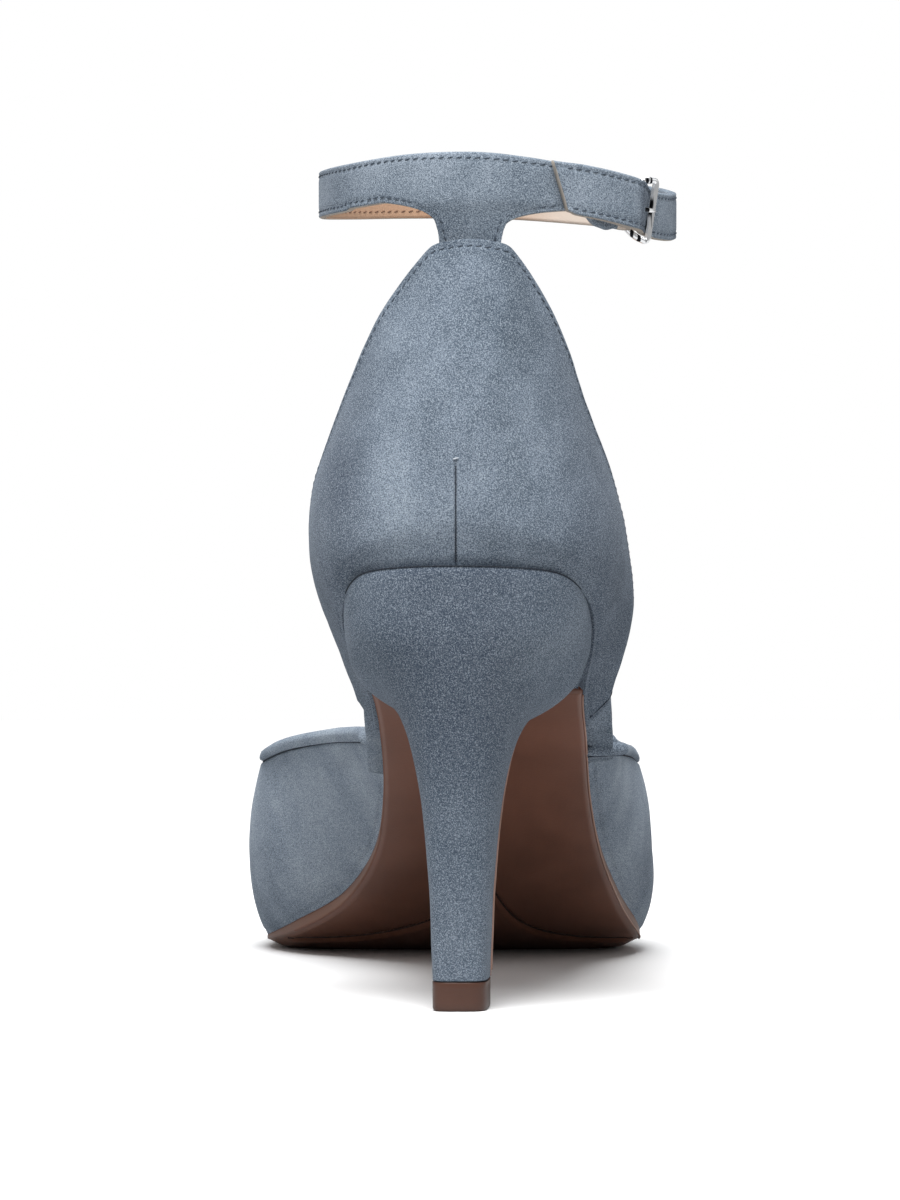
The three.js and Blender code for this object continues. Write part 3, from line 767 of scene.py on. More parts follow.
# Outline of the binding across the top edge: how far outward, and how far below the edge.
BINDING_PROFILE = [
    (0.0, BINDING - 0.2),
    (0.42, BINDING - 0.35),
    (0.62, BINDING - 0.9),
    (0.66, BINDING * 0.5),
    (0.5, 0.35),
    (0.1, -0.15),
    (-0.5, -0.35),
    (-1.1, -0.3),
    (-1.35, -0.05),
    (-1.55, 0.5),
    (-1.6, BINDING * 0.5),
    (-1.55, BINDING - 0.7),
    (-1.4, BINDING - 0.2),
    (-0.8, BINDING - 0.1),
]


def binding_at(u, v):
    turn = mix(-1, 1, v)
    count = len(BINDING_PROFILE)
    i, t = loop_place(u, count)
    a = BINDING_PROFILE[i]
    b = BINDING_PROFILE[(i + 1) % count]
    out = mix(a[0], b[0], t)
    down = mix(a[1], b[1], t)
    length = vamp.length(turn)
    share = 1 - max(down, 0) / length
    spot = vamp.point(turn, share)
    if down < 0:
        rise = (vamp.point(turn, 1) - vamp.point(turn, 0.97)).normalized()
        spot += rise * -down
    normal = vamp.out(turn, share)
    return spot + normal * (out + 0.12 * wander(spot, 5, 12.0))


def build_binding():
    piece("vamp_binding", closed(grid(28, 340, binding_at)), [VAMP_SUEDE])


# Heel, its breast cover and top lift

heel_read = {
    c: reader([dict(row, level=i) for i, row in enumerate(HEEL)], "level", c)
    for c in "back tilt rear front half breast square".split()
}
LEVELS = len(HEEL) - 1


def heel_side(level, along):
    """Half width of the heel at one level, rounded behind its widest place."""
    rear, front = heel_read["rear"](level), heel_read["front"](level)
    half, square = heel_read["half"](level), heel_read["square"](level)
    widest = mix(rear, front, 0.5)
    if along < widest:
        t = clamp((widest - along) / (widest - rear))
        return half * (1 - t**square) ** (1 / square)
    t = (along - widest) / (front - widest)
    return half * (1 - (1 - heel_read["breast"](level)) * t * t)


def heel_point(level, along, side, offset=0.0):
    tilt = heel_read["tilt"](level)
    centre = mix(0, -0.8, tilt) + (along - TIP_FROM_BACK * (1 - tilt)) * HEEL_YAW
    rise = heel_read["back"](level) + tilt * (feather_rise(along) - feather_rise(0))
    return place(centre + side * max(heel_side(level, along) - offset, 0), along, rise)


def heel_outline(level, s, shrink=0.0):
    """Round the back of one level: s runs from one breast corner at 0 to the other at 1."""
    rear, front = heel_read["rear"](level) + shrink, heel_read["front"](level)
    turn = 2 * s - 1
    along = mix(rear, front, 1 - math.cos(math.pi * abs(turn) / 2))
    side = -1 if turn < 0 else 1
    return heel_point(level, along, side, shrink)


BREAST_HOLLOW = 2.2


def breast_point(level, share, ahead=0.0, offset=0.0):
    """On the heel's hollow front face, with the share from -1 at the inner corner to 1 at the outer."""
    front = heel_read["front"](level)
    tilt = heel_read["tilt"](level)
    along = front - BREAST_HOLLOW * tilt * (1 - share * share)
    spot = heel_point(level, along, share, offset)
    spot.y += ahead
    spot.z += tilt * (feather_rise(along + ahead) - feather_rise(along))
    return spot


BACK_SHARE = 0.8


def heel_at(u, v):
    """u goes round the heel, v from the lift up to the rim, whose edge is rolled in."""
    level = LEVELS * (1 - v)
    rim = smooth(0.985, 1.0, v)
    if u <= BACK_SHARE:
        spot = heel_outline(level, u / BACK_SHARE, 0.7 * rim)
    else:
        spot = breast_point(level, mix(1, -1, (u - BACK_SHARE) / (1 - BACK_SHARE)))
    spot.z -= 0.25 * rim
    return spot + Vector((wander(spot, 9, 1.0), wander(spot, 9, 3.0), 0)) * 0.1


def build_heel():
    bm = closed(grid(150, 190, heel_at))
    obj = piece("heel_cover", bm, [HEEL_SUEDE], ["heel"])
    bevel(obj, 0.35, 2, 60)


# Sole

PAD_STEP = 0.7
PAD_REAR = 110
PAD_SWEEP = 34
EDGE_BULGE = 0.1
EDGE_TURN = 0.5


def sole_thick(along):
    return mix(OUTSOLE_SHANK, OUTSOLE_TREAD, smooth(70, 140, along))


def pad_edge(t):
    """The rear border of the forefoot pad: a rounded point at the middle, swept forward at the sides."""
    return PAD_REAR + PAD_SWEEP * (1 - math.exp(-3.1 * (math.hypot(t, 0.05) - 0.05)))


def sole_bottom(along, t):
    edge = pad_edge(t)
    pad = PAD_STEP * smooth(edge, edge + 1.6, along) * (1 - smooth(0.9, 0.97, abs(t)))
    groove = 0.45 * bell(along, edge - 0.5, 0.6) * (abs(t) < 0.93)
    curl = 1.3 * t**4 * smooth(130, 150, along)
    return max(feather_rise(along) - sole_thick(along) - pad + groove + curl, 0)


SOLE_FROM = BREAST - 1.2
SOLE_TO = SHOE_LENGTH - 0.6
# Shares of the grid's columns under the sole and up each edge.
UNDER = 0.62
SIDE = 0.03


def sole_at(u, v):
    """u goes round the section: across underneath, up one edge, back across the top, down the other."""
    along = mix(SOLE_FROM, SOLE_TO, v)
    half = max(feather_half(along) - 0.2, 1.2)
    mid = feather_mid(along)
    top = feather_rise(along)
    if u < UNDER:
        t = mix(-1, 1, u / UNDER)
        hollow = 2.2 * (1 - t * t) * (1 - smooth(BREAST, BREAST + 8, along))
        round_off = EDGE_TURN * smooth(0.95, 1.0, abs(t)) * min(sole_thick(along) / OUTSOLE_TREAD, 1)
        return place(mid + t * half, along - hollow * 0.4, sole_bottom(along, t) + round_off)
    if u < UNDER + SIDE:
        share = (u - UNDER) / SIDE
        x = mid + half + EDGE_BULGE * math.sin(math.pi * share)
        return place(x, along, mix(sole_bottom(along, 1) + EDGE_TURN, top, share))
    if u < 1 - SIDE:
        return place(mid + mix(1, -1, (u - UNDER - SIDE) / (1 - UNDER - 2 * SIDE)) * half, along, top)
    share = (u - 1 + SIDE) / SIDE
    x = mid - half - EDGE_BULGE * math.sin(math.pi * share)
    return place(x, along, mix(top, sole_bottom(along, -1) + EDGE_TURN, share))


def build_sole():
    bm = closed(grid(200, 300, sole_at, lambda u, v: int(u > UNDER)))
    piece("outsole_body", bm, [SOLE, SOLE_EDGE], ["outsole"])


COVER = 1.1
COVER_FILLET = 2.6
COVER_LIP = 0.12
COVER_SIDES = 4


def cover_at(u, v):
    """The tongue of sole leather down the heel's breast: front face, one side, rear face, other side."""
    level = LEVELS * (1 - v)
    fillet = COVER_FILLET * (1 - smooth(0, 2.2, level))
    spot = (u * COVER_SIDES) % COVER_SIDES
    side = int(spot)
    t = spot - side
    front = GAP + COVER + fillet
    if side == 0:
        return breast_point(level, mix(-1, 1, t), front, -COVER_LIP)
    if side == 1:
        return breast_point(level, 1, mix(front, GAP, t), -COVER_LIP)
    if side == 2:
        return breast_point(level, mix(1, -1, t), GAP, -COVER_LIP)
    return breast_point(level, -1, mix(GAP, front, t), -COVER_LIP)


def build_cover():
    bm = closed(grid(48, 160, cover_at, lambda u, v: int(u > 1 / COVER_SIDES)))
    obj = piece("breast_cover", bm, [SOLE, RAW_EDGE])
    bevel(obj, 0.25, 2, 60)


# The lift's height and how far its outline is drawn in, from the ground up.
LIFT_PROFILE = [(0.0, 0.55), (0.25, 0.2), (0.6, 0.05), (LIFT_HEIGHT, 0.0)]


def lift_ring(s, inset):
    """The lift's outline: the heel's lowest level, its breast included."""
    if s <= BACK_SHARE:
        spot = heel_outline(LEVELS, s / BACK_SHARE)
    else:
        spot = breast_point(LEVELS, mix(1, -1, (s - BACK_SHARE) / (1 - BACK_SHARE)), COVER * 0.9)
    flat = Vector((spot.x, spot.y, 0))
    return flat * (1 - inset / flat.length)


def lift_at(u, v):
    last = len(LIFT_PROFILE) - 1
    i = min(int(v * last), last - 1)
    low, high = LIFT_PROFILE[i], LIFT_PROFILE[i + 1]
    rise, inset = (mix(a, b, v * last - i) for a, b in zip(low, high))
    ring = lift_ring(u, inset)
    ring.z = rise
    return ring


def build_lift():
    bm = closed(grid(120, 12, lift_at))
    obj = piece("top_lift_block", bm, [LIFT], ["top_lift"])
    bevel(obj, 0.25)


# Footbed and sock

FLARE_INNER = 2.6
FLARE_OUTER = 4.8
FOOTBED_INSET = 2.6
SOCK_INSET = 3.4
TOE_END = SHOE_LENGTH - 8


def footbed_flare(along, side):
    """How far the board's wrapped edge swells out at the waist."""
    swell = FLARE_INNER if side < 0 else FLARE_OUTER
    return swell * smooth(58.8, 61.5, along) * (1 - smooth(68, 71, along))


def footbed_at(u, v):
    along = mix(SEAT_BACK + 3, TOE_END, v)
    waist = smooth(59.5, 61.5, along) * (1 - smooth(68, 70, along))
    half = max(feather_half(along) - mix(FOOTBED_INSET + 1.6 * smooth(200, 230, along), 0.4, waist), 1.2)
    mid = feather_mid(along)
    angle = 2 * math.pi * u
    across = math.copysign(abs(math.cos(angle)) ** 0.22, math.cos(angle))
    up = math.copysign(abs(math.sin(angle)) ** 0.4, math.sin(angle)) / 2 + 0.5
    flare = footbed_flare(along, across) * up**0.7
    x = mid + across * (half + flare)
    return place(x, along, feather_rise(along) + GAP + up * FOOTBED_THICK)


def build_footbed():
    piece("footbed_body", closed(grid(72, 220, footbed_at)), [SUEDE], ["footbed"])


STRIP_FROM = 53.0
STRIP_TALL = 5.6
STRIP_THIN = 1.0
# Outline of the waist's wrapped edge, as outward and upward shares.
STRIP_PROFILE = [
    (-0.3, 0.0), (0.1, 0.0), (0.55, 0.2), (0.9, 0.42), (1.0, 0.65), (1.0, 0.88),
    (0.9, 1.0), (0.6, 1.03), (0.4, 0.96), (0.32, 0.7), (0.2, 0.4), (-0.2, 0.2),
]


def strip_at(flare, side, front, dip):
    """The wrapped edge on one side, as far as "front", which thins from "dip" forward."""

    def at(u, v):
        along = mix(STRIP_FROM, front, v)
        tall = mix(STRIP_TALL, STRIP_THIN, smooth(dip, dip + 8, along))
        count = len(STRIP_PROFILE)
        i, w = loop_place(u, count)
        four = [Vector((*STRIP_PROFILE[(i + k) % count], 0)) for k in (-1, 0, 1, 2)]
        shape = spline(four, (1 + w) / 3)
        x = feather_mid(along) + side * (feather_half(along) + shape.x * flare)
        point = place(x, along, feather_rise(along) + GAP + shape.y * tall)
        return point + Vector((1, 0, 0)) * 0.12 * wander(point, 5, 20.0)

    return at


def build_strips():
    edges = {"waist_edge_inner": (3.0, -1, 74.0, 54.0), "waist_edge_outer": (5.0, 1, 70.0, 56.0)}
    for name, sizes in edges.items():
        piece(name, closed(grid(48, 60, strip_at(*sizes))), [SUEDE])


def roll(name, ends, radius, material):
    """A short stuffed roll between two points, with rounded ends."""
    a, b = (place(*end) for end in ends)

    def at(u, v):
        t = (1 - math.cos(math.pi * v)) / 2
        run = (b - a).normalized()
        side = run.cross(Vector((0, 0, 1))).normalized()
        up = side.cross(run)
        thick = radius * math.sqrt(max(1 - (2 * t - 1) ** 8, 0))
        angle = 2 * math.pi * u
        spot = a.lerp(b, t) + (side * math.cos(angle) + up * math.sin(angle)) * thick
        return spot + up * 0.1 * wander(spot, 3, 22.0)

    piece(name, closed(grid(24, 40, at)), [material])


def sock_at(u, v):
    along = mix(SEAT_BACK + SOCK_INSET, TOE_END, v)
    half = max(feather_half(along) - SOCK_INSET, 1.0)
    t = mix(-1, 1, u)
    base = feather_rise(along) + FOOTBED_THICK + 2 * GAP + SOCK_THICK
    dish = 0.5 * t**4 * smooth(70, 20, along)
    return place(feather_mid(along) + t * half, along, base + dish - 0.25 * smooth(0.94, 1, abs(t)))


def build_sock():
    bm = grid(40, 200, sock_at)
    obj = piece("sock_lining_sheet", bm, [LINING], ["sock_lining"])
    face_out(obj, Vector((0, 0.1, -1)))
    solidify(obj, SOCK_THICK, 0)


# Ankle strap

strap_rise = reader(STRAP_RISE, "angle", "rise")
tab_half = reader(TAB, "rise", "half")
tab_along = reader(TAB, "rise", "along")


def ring_point(angle, out):
    a = math.radians(angle)
    away = Vector((-math.sin(a) / RING["wide"], -math.cos(a) / RING["deep"])).normalized()
    x = RING["x"] - RING["wide"] * math.sin(a) + away.x * out
    along = RING["along"] - RING["deep"] * math.cos(a) + away.y * out
    return place(x, along, strap_rise(angle))


def strap_up(angle):
    run = (ring_point(angle + 1, 0) - ring_point(angle - 1, 0)).normalized()
    out = run.cross(Vector((0, 0, 1))).normalized()
    return out.cross(run)


def spline(points, t):
    """A smooth curve through the points, t from 0 to 1."""
    last = len(points) - 1
    spot = clamp(t) * last
    i = min(int(spot), last - 1)
    w = spot - i
    b, c = points[i], points[i + 1]
    a = points[i - 1] if i > 0 else b * 2 - c
    d = points[i + 2] if i + 2 <= last else c * 2 - b
    return (
        b * 2
        + (c - a) * w
        + (a * 2 - b * 5 + c * 4 - d) * w * w
        + (b * 3 - a - c * 3 + d) * w**3
    ) / 2


STRAP_LINE = [ring_point(row["angle"], row["out"]) for row in STRAP]
STRAP_ROWS = len(STRAP) - 1


def strap_frame(t):
    """Centre, direction, outward and upward vectors at a share of the strap's path."""
    centre = spline(STRAP_LINE, t)
    run = spline(STRAP_LINE, min(t + 0.001, 1)) - spline(STRAP_LINE, max(t - 0.001, 0))
    run.z = 0
    run.normalize()
    out = Vector((-run.y, run.x, 0))
    row = min(int(t * STRAP_ROWS), STRAP_ROWS - 1)
    angle = mix(STRAP[row]["angle"], STRAP[row + 1]["angle"], t * STRAP_ROWS - row)
    return centre, run, out, strap_up(angle), angle


TAB_TOP = 157.0
INNER_SIDE = 90


def strap_spot(t, up, out=0.0):
    """A point of the strap, so far up from its middle line and so far out."""
    centre, run, away, rise, angle = strap_frame(t)
    slant = TAIL_SLANT * smooth(0.97, 1, t) * up / (STRAP_WIDTH / 2)
    spot = centre + rise * up + run * slant + away * out
    near = 1 - smooth(9, 20, abs(spot.x - TAB_CENTRE))
    lean = tab_along(spot.z) - tab_along(TAB_TOP)
    if up < -1 and angle < INNER_SIDE:
        spot.y += lean * smooth(-1, -5, up) * near
    return spot


STRAP_STEPS = 1200
strap_lengths = [0.0]
for step in range(STRAP_STEPS):
    run = spline(STRAP_LINE, (step + 1) / STRAP_STEPS) - spline(STRAP_LINE, step / STRAP_STEPS)
    strap_lengths.append(strap_lengths[-1] + run.length)
STRAP_LENGTH = strap_lengths[-1]


def strap_share(distance):
    """The path share at this distance from the folded end."""
    low, high = 0, STRAP_STEPS
    while high - low > 1:
        middle = (low + high) // 2
        if strap_lengths[middle] < distance:
            low = middle
        else:
            high = middle
    part = (distance - strap_lengths[low]) / (strap_lengths[high] - strap_lengths[low])
    return (low + part) / STRAP_STEPS


def strap_distance_at(x_from_tab, start, end):
    """The distance along the strap where its middle line is this far sideways of the tab."""
    low, high = start, end
    for _ in range(40):
        middle = (low + high) / 2
        if spline(STRAP_LINE, strap_share(middle)).x - TAB_CENTRE > x_from_tab:
            low = middle
        else:
            high = middle
    return (low + high) / 2


TAB_SPAN = 24.0
TAB_RIGHT = strap_distance_at(TAB_SPAN, 14, 60)
TAB_LEFT = strap_distance_at(-TAB_SPAN, 30, 90)
TAB_BOTTOM = 139.5
TAB_NECK = 149.4
# Shares of the tab's half where its foot ends and where its neck ends.
TAB_FOOT_SHARE = 0.3
TAB_NECK_SHARE = 0.6
TAB_FOOT_HALF = 6.0
TAB_NECK_HALF = 6.9
# How the tab widens above its neck: an even share, and the rest gathering speed.
TAB_EVEN = 0.42
# How far its border climbs from the neck to the strap, on the inner and on the outer side.
TAB_CLIMB_INNER = 5.6
TAB_CLIMB_OUTER = 3.7


def tab_outline(q):
    """The lower border of the tab: sideways distance and height, q from -1 to 1."""
    side = -1 if q < 0 else 1
    s = abs(q)
    if s < TAB_FOOT_SHARE:
        return side * TAB_FOOT_HALF * s / TAB_FOOT_SHARE, TAB_BOTTOM
    if s < TAB_NECK_SHARE:
        rise = mix(TAB_BOTTOM, TAB_NECK, (s - TAB_FOOT_SHARE) / (TAB_NECK_SHARE - TAB_FOOT_SHARE))
        return side * tab_half(rise), rise
    w = (s - TAB_NECK_SHARE) / (1 - TAB_NECK_SHARE)
    angle = w * math.pi / 2
    wider = TAB_EVEN * (1 - math.cos(angle)) + (1 - TAB_EVEN) * w**2.2
    half = TAB_NECK_HALF + (TAB_SPAN - TAB_NECK_HALF) * wider
    climb = TAB_CLIMB_INNER if side < 0 else TAB_CLIMB_OUTER
    rise = TAB_NECK + climb * math.sin(angle) ** 0.9
    return side * half, rise


# The free end is higher by this much. The chape's fold hangs lower, and its end stands higher.
TAIL_EXTRA = 0.35
FOLD_DROP = 0.8
FOLD_LIFT = 0.9
# Shares of the strap's columns: painted suede on both faces, before the tab, and across it.
FOLD_PAINT = 0.043
BEFORE_TAB = 0.1
TAB_COLUMNS = 0.4
STRAP_COLUMNS = 500
# Share of the section's points on each face, and the rounding of its edges.
FACE_SHARE = 0.42
EDGE_ROUND = 0.45


def strap_column(u):
    """Distance along the top edge, and the tab's lower border there if it hangs below."""
    if u < BEFORE_TAB:
        return mix(0, TAB_RIGHT, u / BEFORE_TAB), None
    if u < BEFORE_TAB + TAB_COLUMNS:
        q = mix(1, -1, (u - BEFORE_TAB) / TAB_COLUMNS)
        aside = TAB_SPAN * (TAB_EVEN * q + (1 - TAB_EVEN) * q * abs(q))
        return strap_distance_at(aside, TAB_RIGHT - 1, TAB_LEFT + 1), tab_outline(q)
    after = (u - BEFORE_TAB - TAB_COLUMNS) / (1 - BEFORE_TAB - TAB_COLUMNS)
    return mix(TAB_LEFT, STRAP_LENGTH, after), None


def band_section(v, width):
    """Round the strap's section: distance from the lower border, and how far out."""
    half = STRAP_THICK / 2
    if v < FACE_SHARE:
        return mix(EDGE_ROUND, width - EDGE_ROUND, v / FACE_SHARE), half
    if v < 0.5:
        angle = math.pi * (v - FACE_SHARE) / (0.5 - FACE_SHARE)
        return width - EDGE_ROUND + EDGE_ROUND * math.sin(angle), half * math.cos(angle)
    if v < 0.5 + FACE_SHARE:
        return mix(width - EDGE_ROUND, EDGE_ROUND, (v - 0.5) / FACE_SHARE), -half
    angle = math.pi * (v - 0.5 - FACE_SHARE) / (0.5 - FACE_SHARE)
    return EDGE_ROUND - EDGE_ROUND * math.sin(angle), -half * math.cos(angle)


column_cache = {}


def strap_column_ends(u):
    """Path shares and heights of the lower and the upper border."""
    key = round(u, 6)
    if key not in column_cache:
        distance, low = strap_column(u)
        high = STRAP_WIDTH / 2 + TAIL_EXTRA * smooth(STRAP_LENGTH - 22, STRAP_LENGTH - 16, distance)
        top = strap_share(distance)
        folded = 1 - smooth(7.2, 9.6, distance)
        drop = (FOLD_DROP + FOLD_LIFT) * smooth(0, 4.5, distance) * folded
        drop -= FOLD_LIFT * folded
        if low is None:
            column_cache[key] = (top, -high - drop, top, high - drop)
        else:
            foot = strap_share(strap_distance_at(low[0], TAB_RIGHT - 1, TAB_LEFT + 1))
            foot_up = low[1] - spline(STRAP_LINE, foot).z
            column_cache[key] = (foot, min(foot_up, -high + 0.4), top, high)
    return column_cache[key]


def strap_at(u, v):
    """u runs along the strap, v round its section; the tab hangs from the lower edge at the back."""
    foot, foot_up, top, high = strap_column_ends(u)
    width = (strap_spot(top, high) - strap_spot(foot, foot_up)).length
    from_low, out = band_section(v, width)
    share = from_low / width
    if out > 0:
        out -= 0.14 * bell(width - from_low, 1.1, 0.5) + 0.14 * bell(from_low, 1.2, 0.5)
    return strap_spot(mix(foot, top, share), mix(foot_up, high, share), out)


def strap_paint(u, v):
    """Suede outside and on the fold, then lining, then the pale cut edge."""
    from_lining = v - 0.5 - FACE_SHARE
    if v < 0.5 + 0.01 or u < FOLD_PAINT or from_lining > 0.064:
        return 0
    return 1 if from_lining < 0.02 else 2


def build_strap():
    bm = closed(grid(STRAP_COLUMNS, 64, strap_at, strap_paint), cap=2)
    piece("ankle_strap_band", bm, [STRAP_SUEDE, STRAP_LINING, CUT_EDGE], ["ankle_strap"])


# Stitches and seams

def beside_roll(ends, away, way):
    """The line along the rear side of a roll, under it or over it."""
    a, b = (place(*end) for end in ends)
    aside = Vector((0, -0.8, way)).normalized() * away
    normal = Vector((0, -1, way * 0.3)).normalized()

    def at(s):
        return a.lerp(b, s) + aside, normal

    return at


STITCH_PITCH = 1.78
STITCH_LENGTH = 1.2
STITCH_THICK = 0.32
STITCH_LEAN = 0.22
HEAVY_THICK = 0.34


def stitches(name, spots, material, thick=STITCH_THICK):
    """A row of short threads, each sunk a little. A spot is a point, a direction and a normal."""
    bm = bmesh.new()
    for point, run, normal in spots:
        run = run.normalized()
        side = normal.cross(run).normalized()
        tip = (run + side * STITCH_LEAN).normalized()
        turn = Matrix((tip, side, normal.normalized())).transposed().to_4x4()
        size = Matrix.Diagonal((STITCH_LENGTH / 2 * MM, thick / 2 * MM, thick / 2 * MM, 1))
        lie = Matrix.Translation(point * MM) @ turn @ size
        bmesh.ops.create_icosphere(bm, subdivisions=2, radius=1, matrix=lie)
    piece(name, bm, [material])


ROW_SAMPLES = 600


def row(at, start, end):
    """Evenly spaced spots of a path; at(s) gives a point and its normal."""
    steps = [mix(start, end, i / ROW_SAMPLES) for i in range(ROW_SAMPLES + 1)]
    points = [at(s)[0] for s in steps]
    run = [0.0]
    for a, b in zip(points, points[1:]):
        run.append(run[-1] + (b - a).length)
    count = max(int(run[-1] / STITCH_PITCH), 1)
    spots = []
    i = 0
    for k in range(count):
        goal = run[-1] * (k + 0.5) / count
        while run[i + 1] < goal:
            i += 1
        share = (goal - run[i]) / (run[i + 1] - run[i])
        point, normal = at(mix(steps[i], steps[i + 1], share))
        spots.append((point, points[i + 1] - points[i], normal))
    return spots


def cord(name, at, start, end, radius, material, count=300):
    """A thin line along a path; at(s) gives a point and its normal."""
    points = [at(mix(start, end, i / count)) for i in range(count + 1)]

    def around(u, v):
        i = min(int(v * count + 0.5), count)
        point, normal = points[i]
        run = (points[min(i + 1, count)][0] - points[max(i - 1, 0)][0]).normalized()
        side = normal.cross(run).normalized()
        angle = 2 * math.pi * u
        return point + (side * math.cos(angle) + normal * math.sin(angle)) * radius

    piece(name, closed(grid(8, count, around)), [material])


def strap_path(from_edge, top, out):
    """The line this far in from the strap's upper or lower border; s is the grid's u."""

    def at(s):
        foot, foot_up, high_share, high = strap_column_ends(s)
        width = (strap_spot(high_share, high) - strap_spot(foot, foot_up)).length
        share = 1 - from_edge / width if top else from_edge / width
        t = mix(foot, high_share, share)
        up = mix(foot_up, high, share)
        normal = strap_frame(t)[2]
        return strap_spot(t, up, out), normal if out > 0 else -normal

    return at


def inset_path(base, inset):
    """A path moved sideways on the surface, away from the lower border it follows."""

    def at(s):
        point, normal = base(s)
        run = (base(s + 0.0005)[0] - base(s - 0.0005)[0]).normalized()
        return point + run.cross(normal) * inset, normal

    return at


DART_SUNK = 0.42


def dart_at(s):
    """The dart's line up the back, found on the wall by its height."""
    turn_low, turn_high = -0.12, 0.05
    v = s
    for _ in range(24):
        middle = (turn_low + turn_high) / 2
        if quarter.point(middle, v).x < DART_X:
            turn_low = middle
        else:
            turn_high = middle
    out = quarter.out(turn_low, v)
    return quarter.point(turn_low, v) + out * (QUARTER_FACE * smooth(0.0, 0.14, v) - DART_SUNK), out


SEAT_CENTRE = 12


def rim_at(s):
    """Along the heel's rim, from one breast corner round the back to the other."""
    spot = heel_outline(0, s)
    below = heel_outline(0.4, s)
    out = Vector((below.x - DART_X, below.y - SEAT_CENTRE, 0)).normalized()
    return spot + out * 0.1 - Vector((0, 0, 0.1)), out


def breast_edge(side):
    """The cut edge of the breast leather where it meets the heel's cover."""

    def at(s):
        level = mix(0.12, LEVELS - 0.2, s)
        spot = breast_point(level, side, GAP + 0.3)
        spot.x += side * 0.05 * (1 + wander(spot, 4, 30.0))
        return spot, Vector((side, 0.3, 0)).normalized()

    return at


def sole_edge(side):
    """Along the sole leather's raw edge, from the heel to the ball."""

    def at(s):
        along = mix(BREAST, 150, s)
        x = feather_mid(along) + side * (feather_half(along) - 0.1)
        return place(x, along, sole_bottom(along, 1) + 0.4), Vector((side, 0, -0.4)).normalized()

    return at


def vamp_seam(s):
    """Just under the vamp's rolled binding."""
    turn = mix(-0.99, 0.99, s)
    v = 1 - (BINDING + 0.1) / vamp.length(turn)
    out = vamp.out(turn, v)
    return vamp.point(turn, v) - out * 0.42, out


def quarter_end(s):
    """The outer side's front end, where it is stitched down over the waist."""
    turn = 0.985
    v = mix(0.04, 0.98, s)
    out = quarter.out(turn, v)
    return quarter.point(turn, v) + out * 1.1, out


def pad_line(s):
    """Along the rear border of the forefoot pad under the sole."""
    t = mix(-0.96, 0.96, s)
    along = pad_edge(t)
    x = feather_mid(along) + t * feather_half(along)
    return place(x, along, sole_bottom(along, t) + 0.05), Vector((0, 0, -1))


def quarter_row(s):
    """The stitched line under the heel cup's top edge."""
    turn = quarter_turn(s)
    v = 1 - ROW_IN / quarter.length(turn)
    out = quarter.out(turn, v)
    return quarter_at(s, v) + out * ROW_RAISED, out


# Buckle

BUCKLE_WIRE = 1.3
BUCKLE_HALF = 6.1
BUCKLE_WAIST_HALF = 5.3
BUCKLE_HINGE_HALF = 3.6
BUCKLE_CORNER = 1.2
# Ring angle and distance outward of the frame's two bars.
HINGE = (-47.7, -0.9)
OUTER_BAR = (-54.2, 2.1)
BUCKLE_BOW = 0.35


def buckle_basis():
    """The hinged bar's middle, the frame's forward, upward and outward ways, and its pitch."""
    rear = ring_point(*HINGE)
    forward = ring_point(*OUTER_BAR) - rear
    ahead = forward.normalized()
    out = ahead.cross(Vector((0, 0, 1))).normalized()
    up = out.cross(ahead)
    return rear, ahead, up, out, forward.length


def buckle_centre(s):
    """The frame's centre line: corners rounded, narrower at the hinged bar; s from 0 to 1."""
    pitch = buckle_basis()[4]
    corners = [
        (0, -BUCKLE_HINGE_HALF),
        (pitch * 0.4, -BUCKLE_WAIST_HALF),
        (pitch, -BUCKLE_HALF),
        (pitch, BUCKLE_HALF),
        (pitch * 0.4, BUCKLE_WAIST_HALF),
        (0, BUCKLE_HINGE_HALF),
    ]
    count = len(corners)
    runs = []
    for i in range(count):
        here, ahead = Vector(corners[i]), Vector(corners[(i + 1) % count])
        way = (ahead - here).normalized()
        runs.append((here + way * BUCKLE_CORNER, ahead - way * BUCKLE_CORNER))
    spot = s * 2 * count
    i = int(spot / 2) % count
    part = spot - 2 * int(spot / 2)
    a, b = runs[i]
    if part < 1:
        return a.lerp(b, part)
    c, corner = runs[(i + 1) % count][0], Vector(corners[(i + 1) % count])
    t = part - 1
    return b * (1 - t) ** 2 + corner * 2 * t * (1 - t) + c * t * t


def buckle_at(u, v):
    rear, ahead, up, out, pitch = buckle_basis()
    a = buckle_centre(v)
    before = buckle_centre((v - 0.004) % 1)
    after = buckle_centre((v + 0.004) % 1)
    run = (ahead * (after[0] - before[0]) + up * (after[1] - before[1])).normalized()
    side = out.cross(run)
    angle = 2 * math.pi * u
    radius = BUCKLE_WIRE / 2
    flat = abs(math.cos(angle)) ** 0.7 * math.copysign(1, math.cos(angle))
    bow = BUCKLE_BOW * math.sin(math.pi * clamp(a[0] / pitch))
    centre = rear + ahead * a[0] + up * a[1] + out * bow
    return centre + side * (radius * flat) + out * (radius * math.sin(angle))


def build_buckle():
    bm = closed(grid(20, 420, buckle_at), False)
    piece("buckle_frame_wire", bm, [METAL], ["buckle_frame"])


# The prong's way, as millimetres forward of the hinged bar and outward.
PRONG = [(0.1, 1.2), (0.9, 2.0), (2.2, 2.2), (3.8, 1.6), (5.6, 0.95)]
PRONG_RADIUS = 0.42


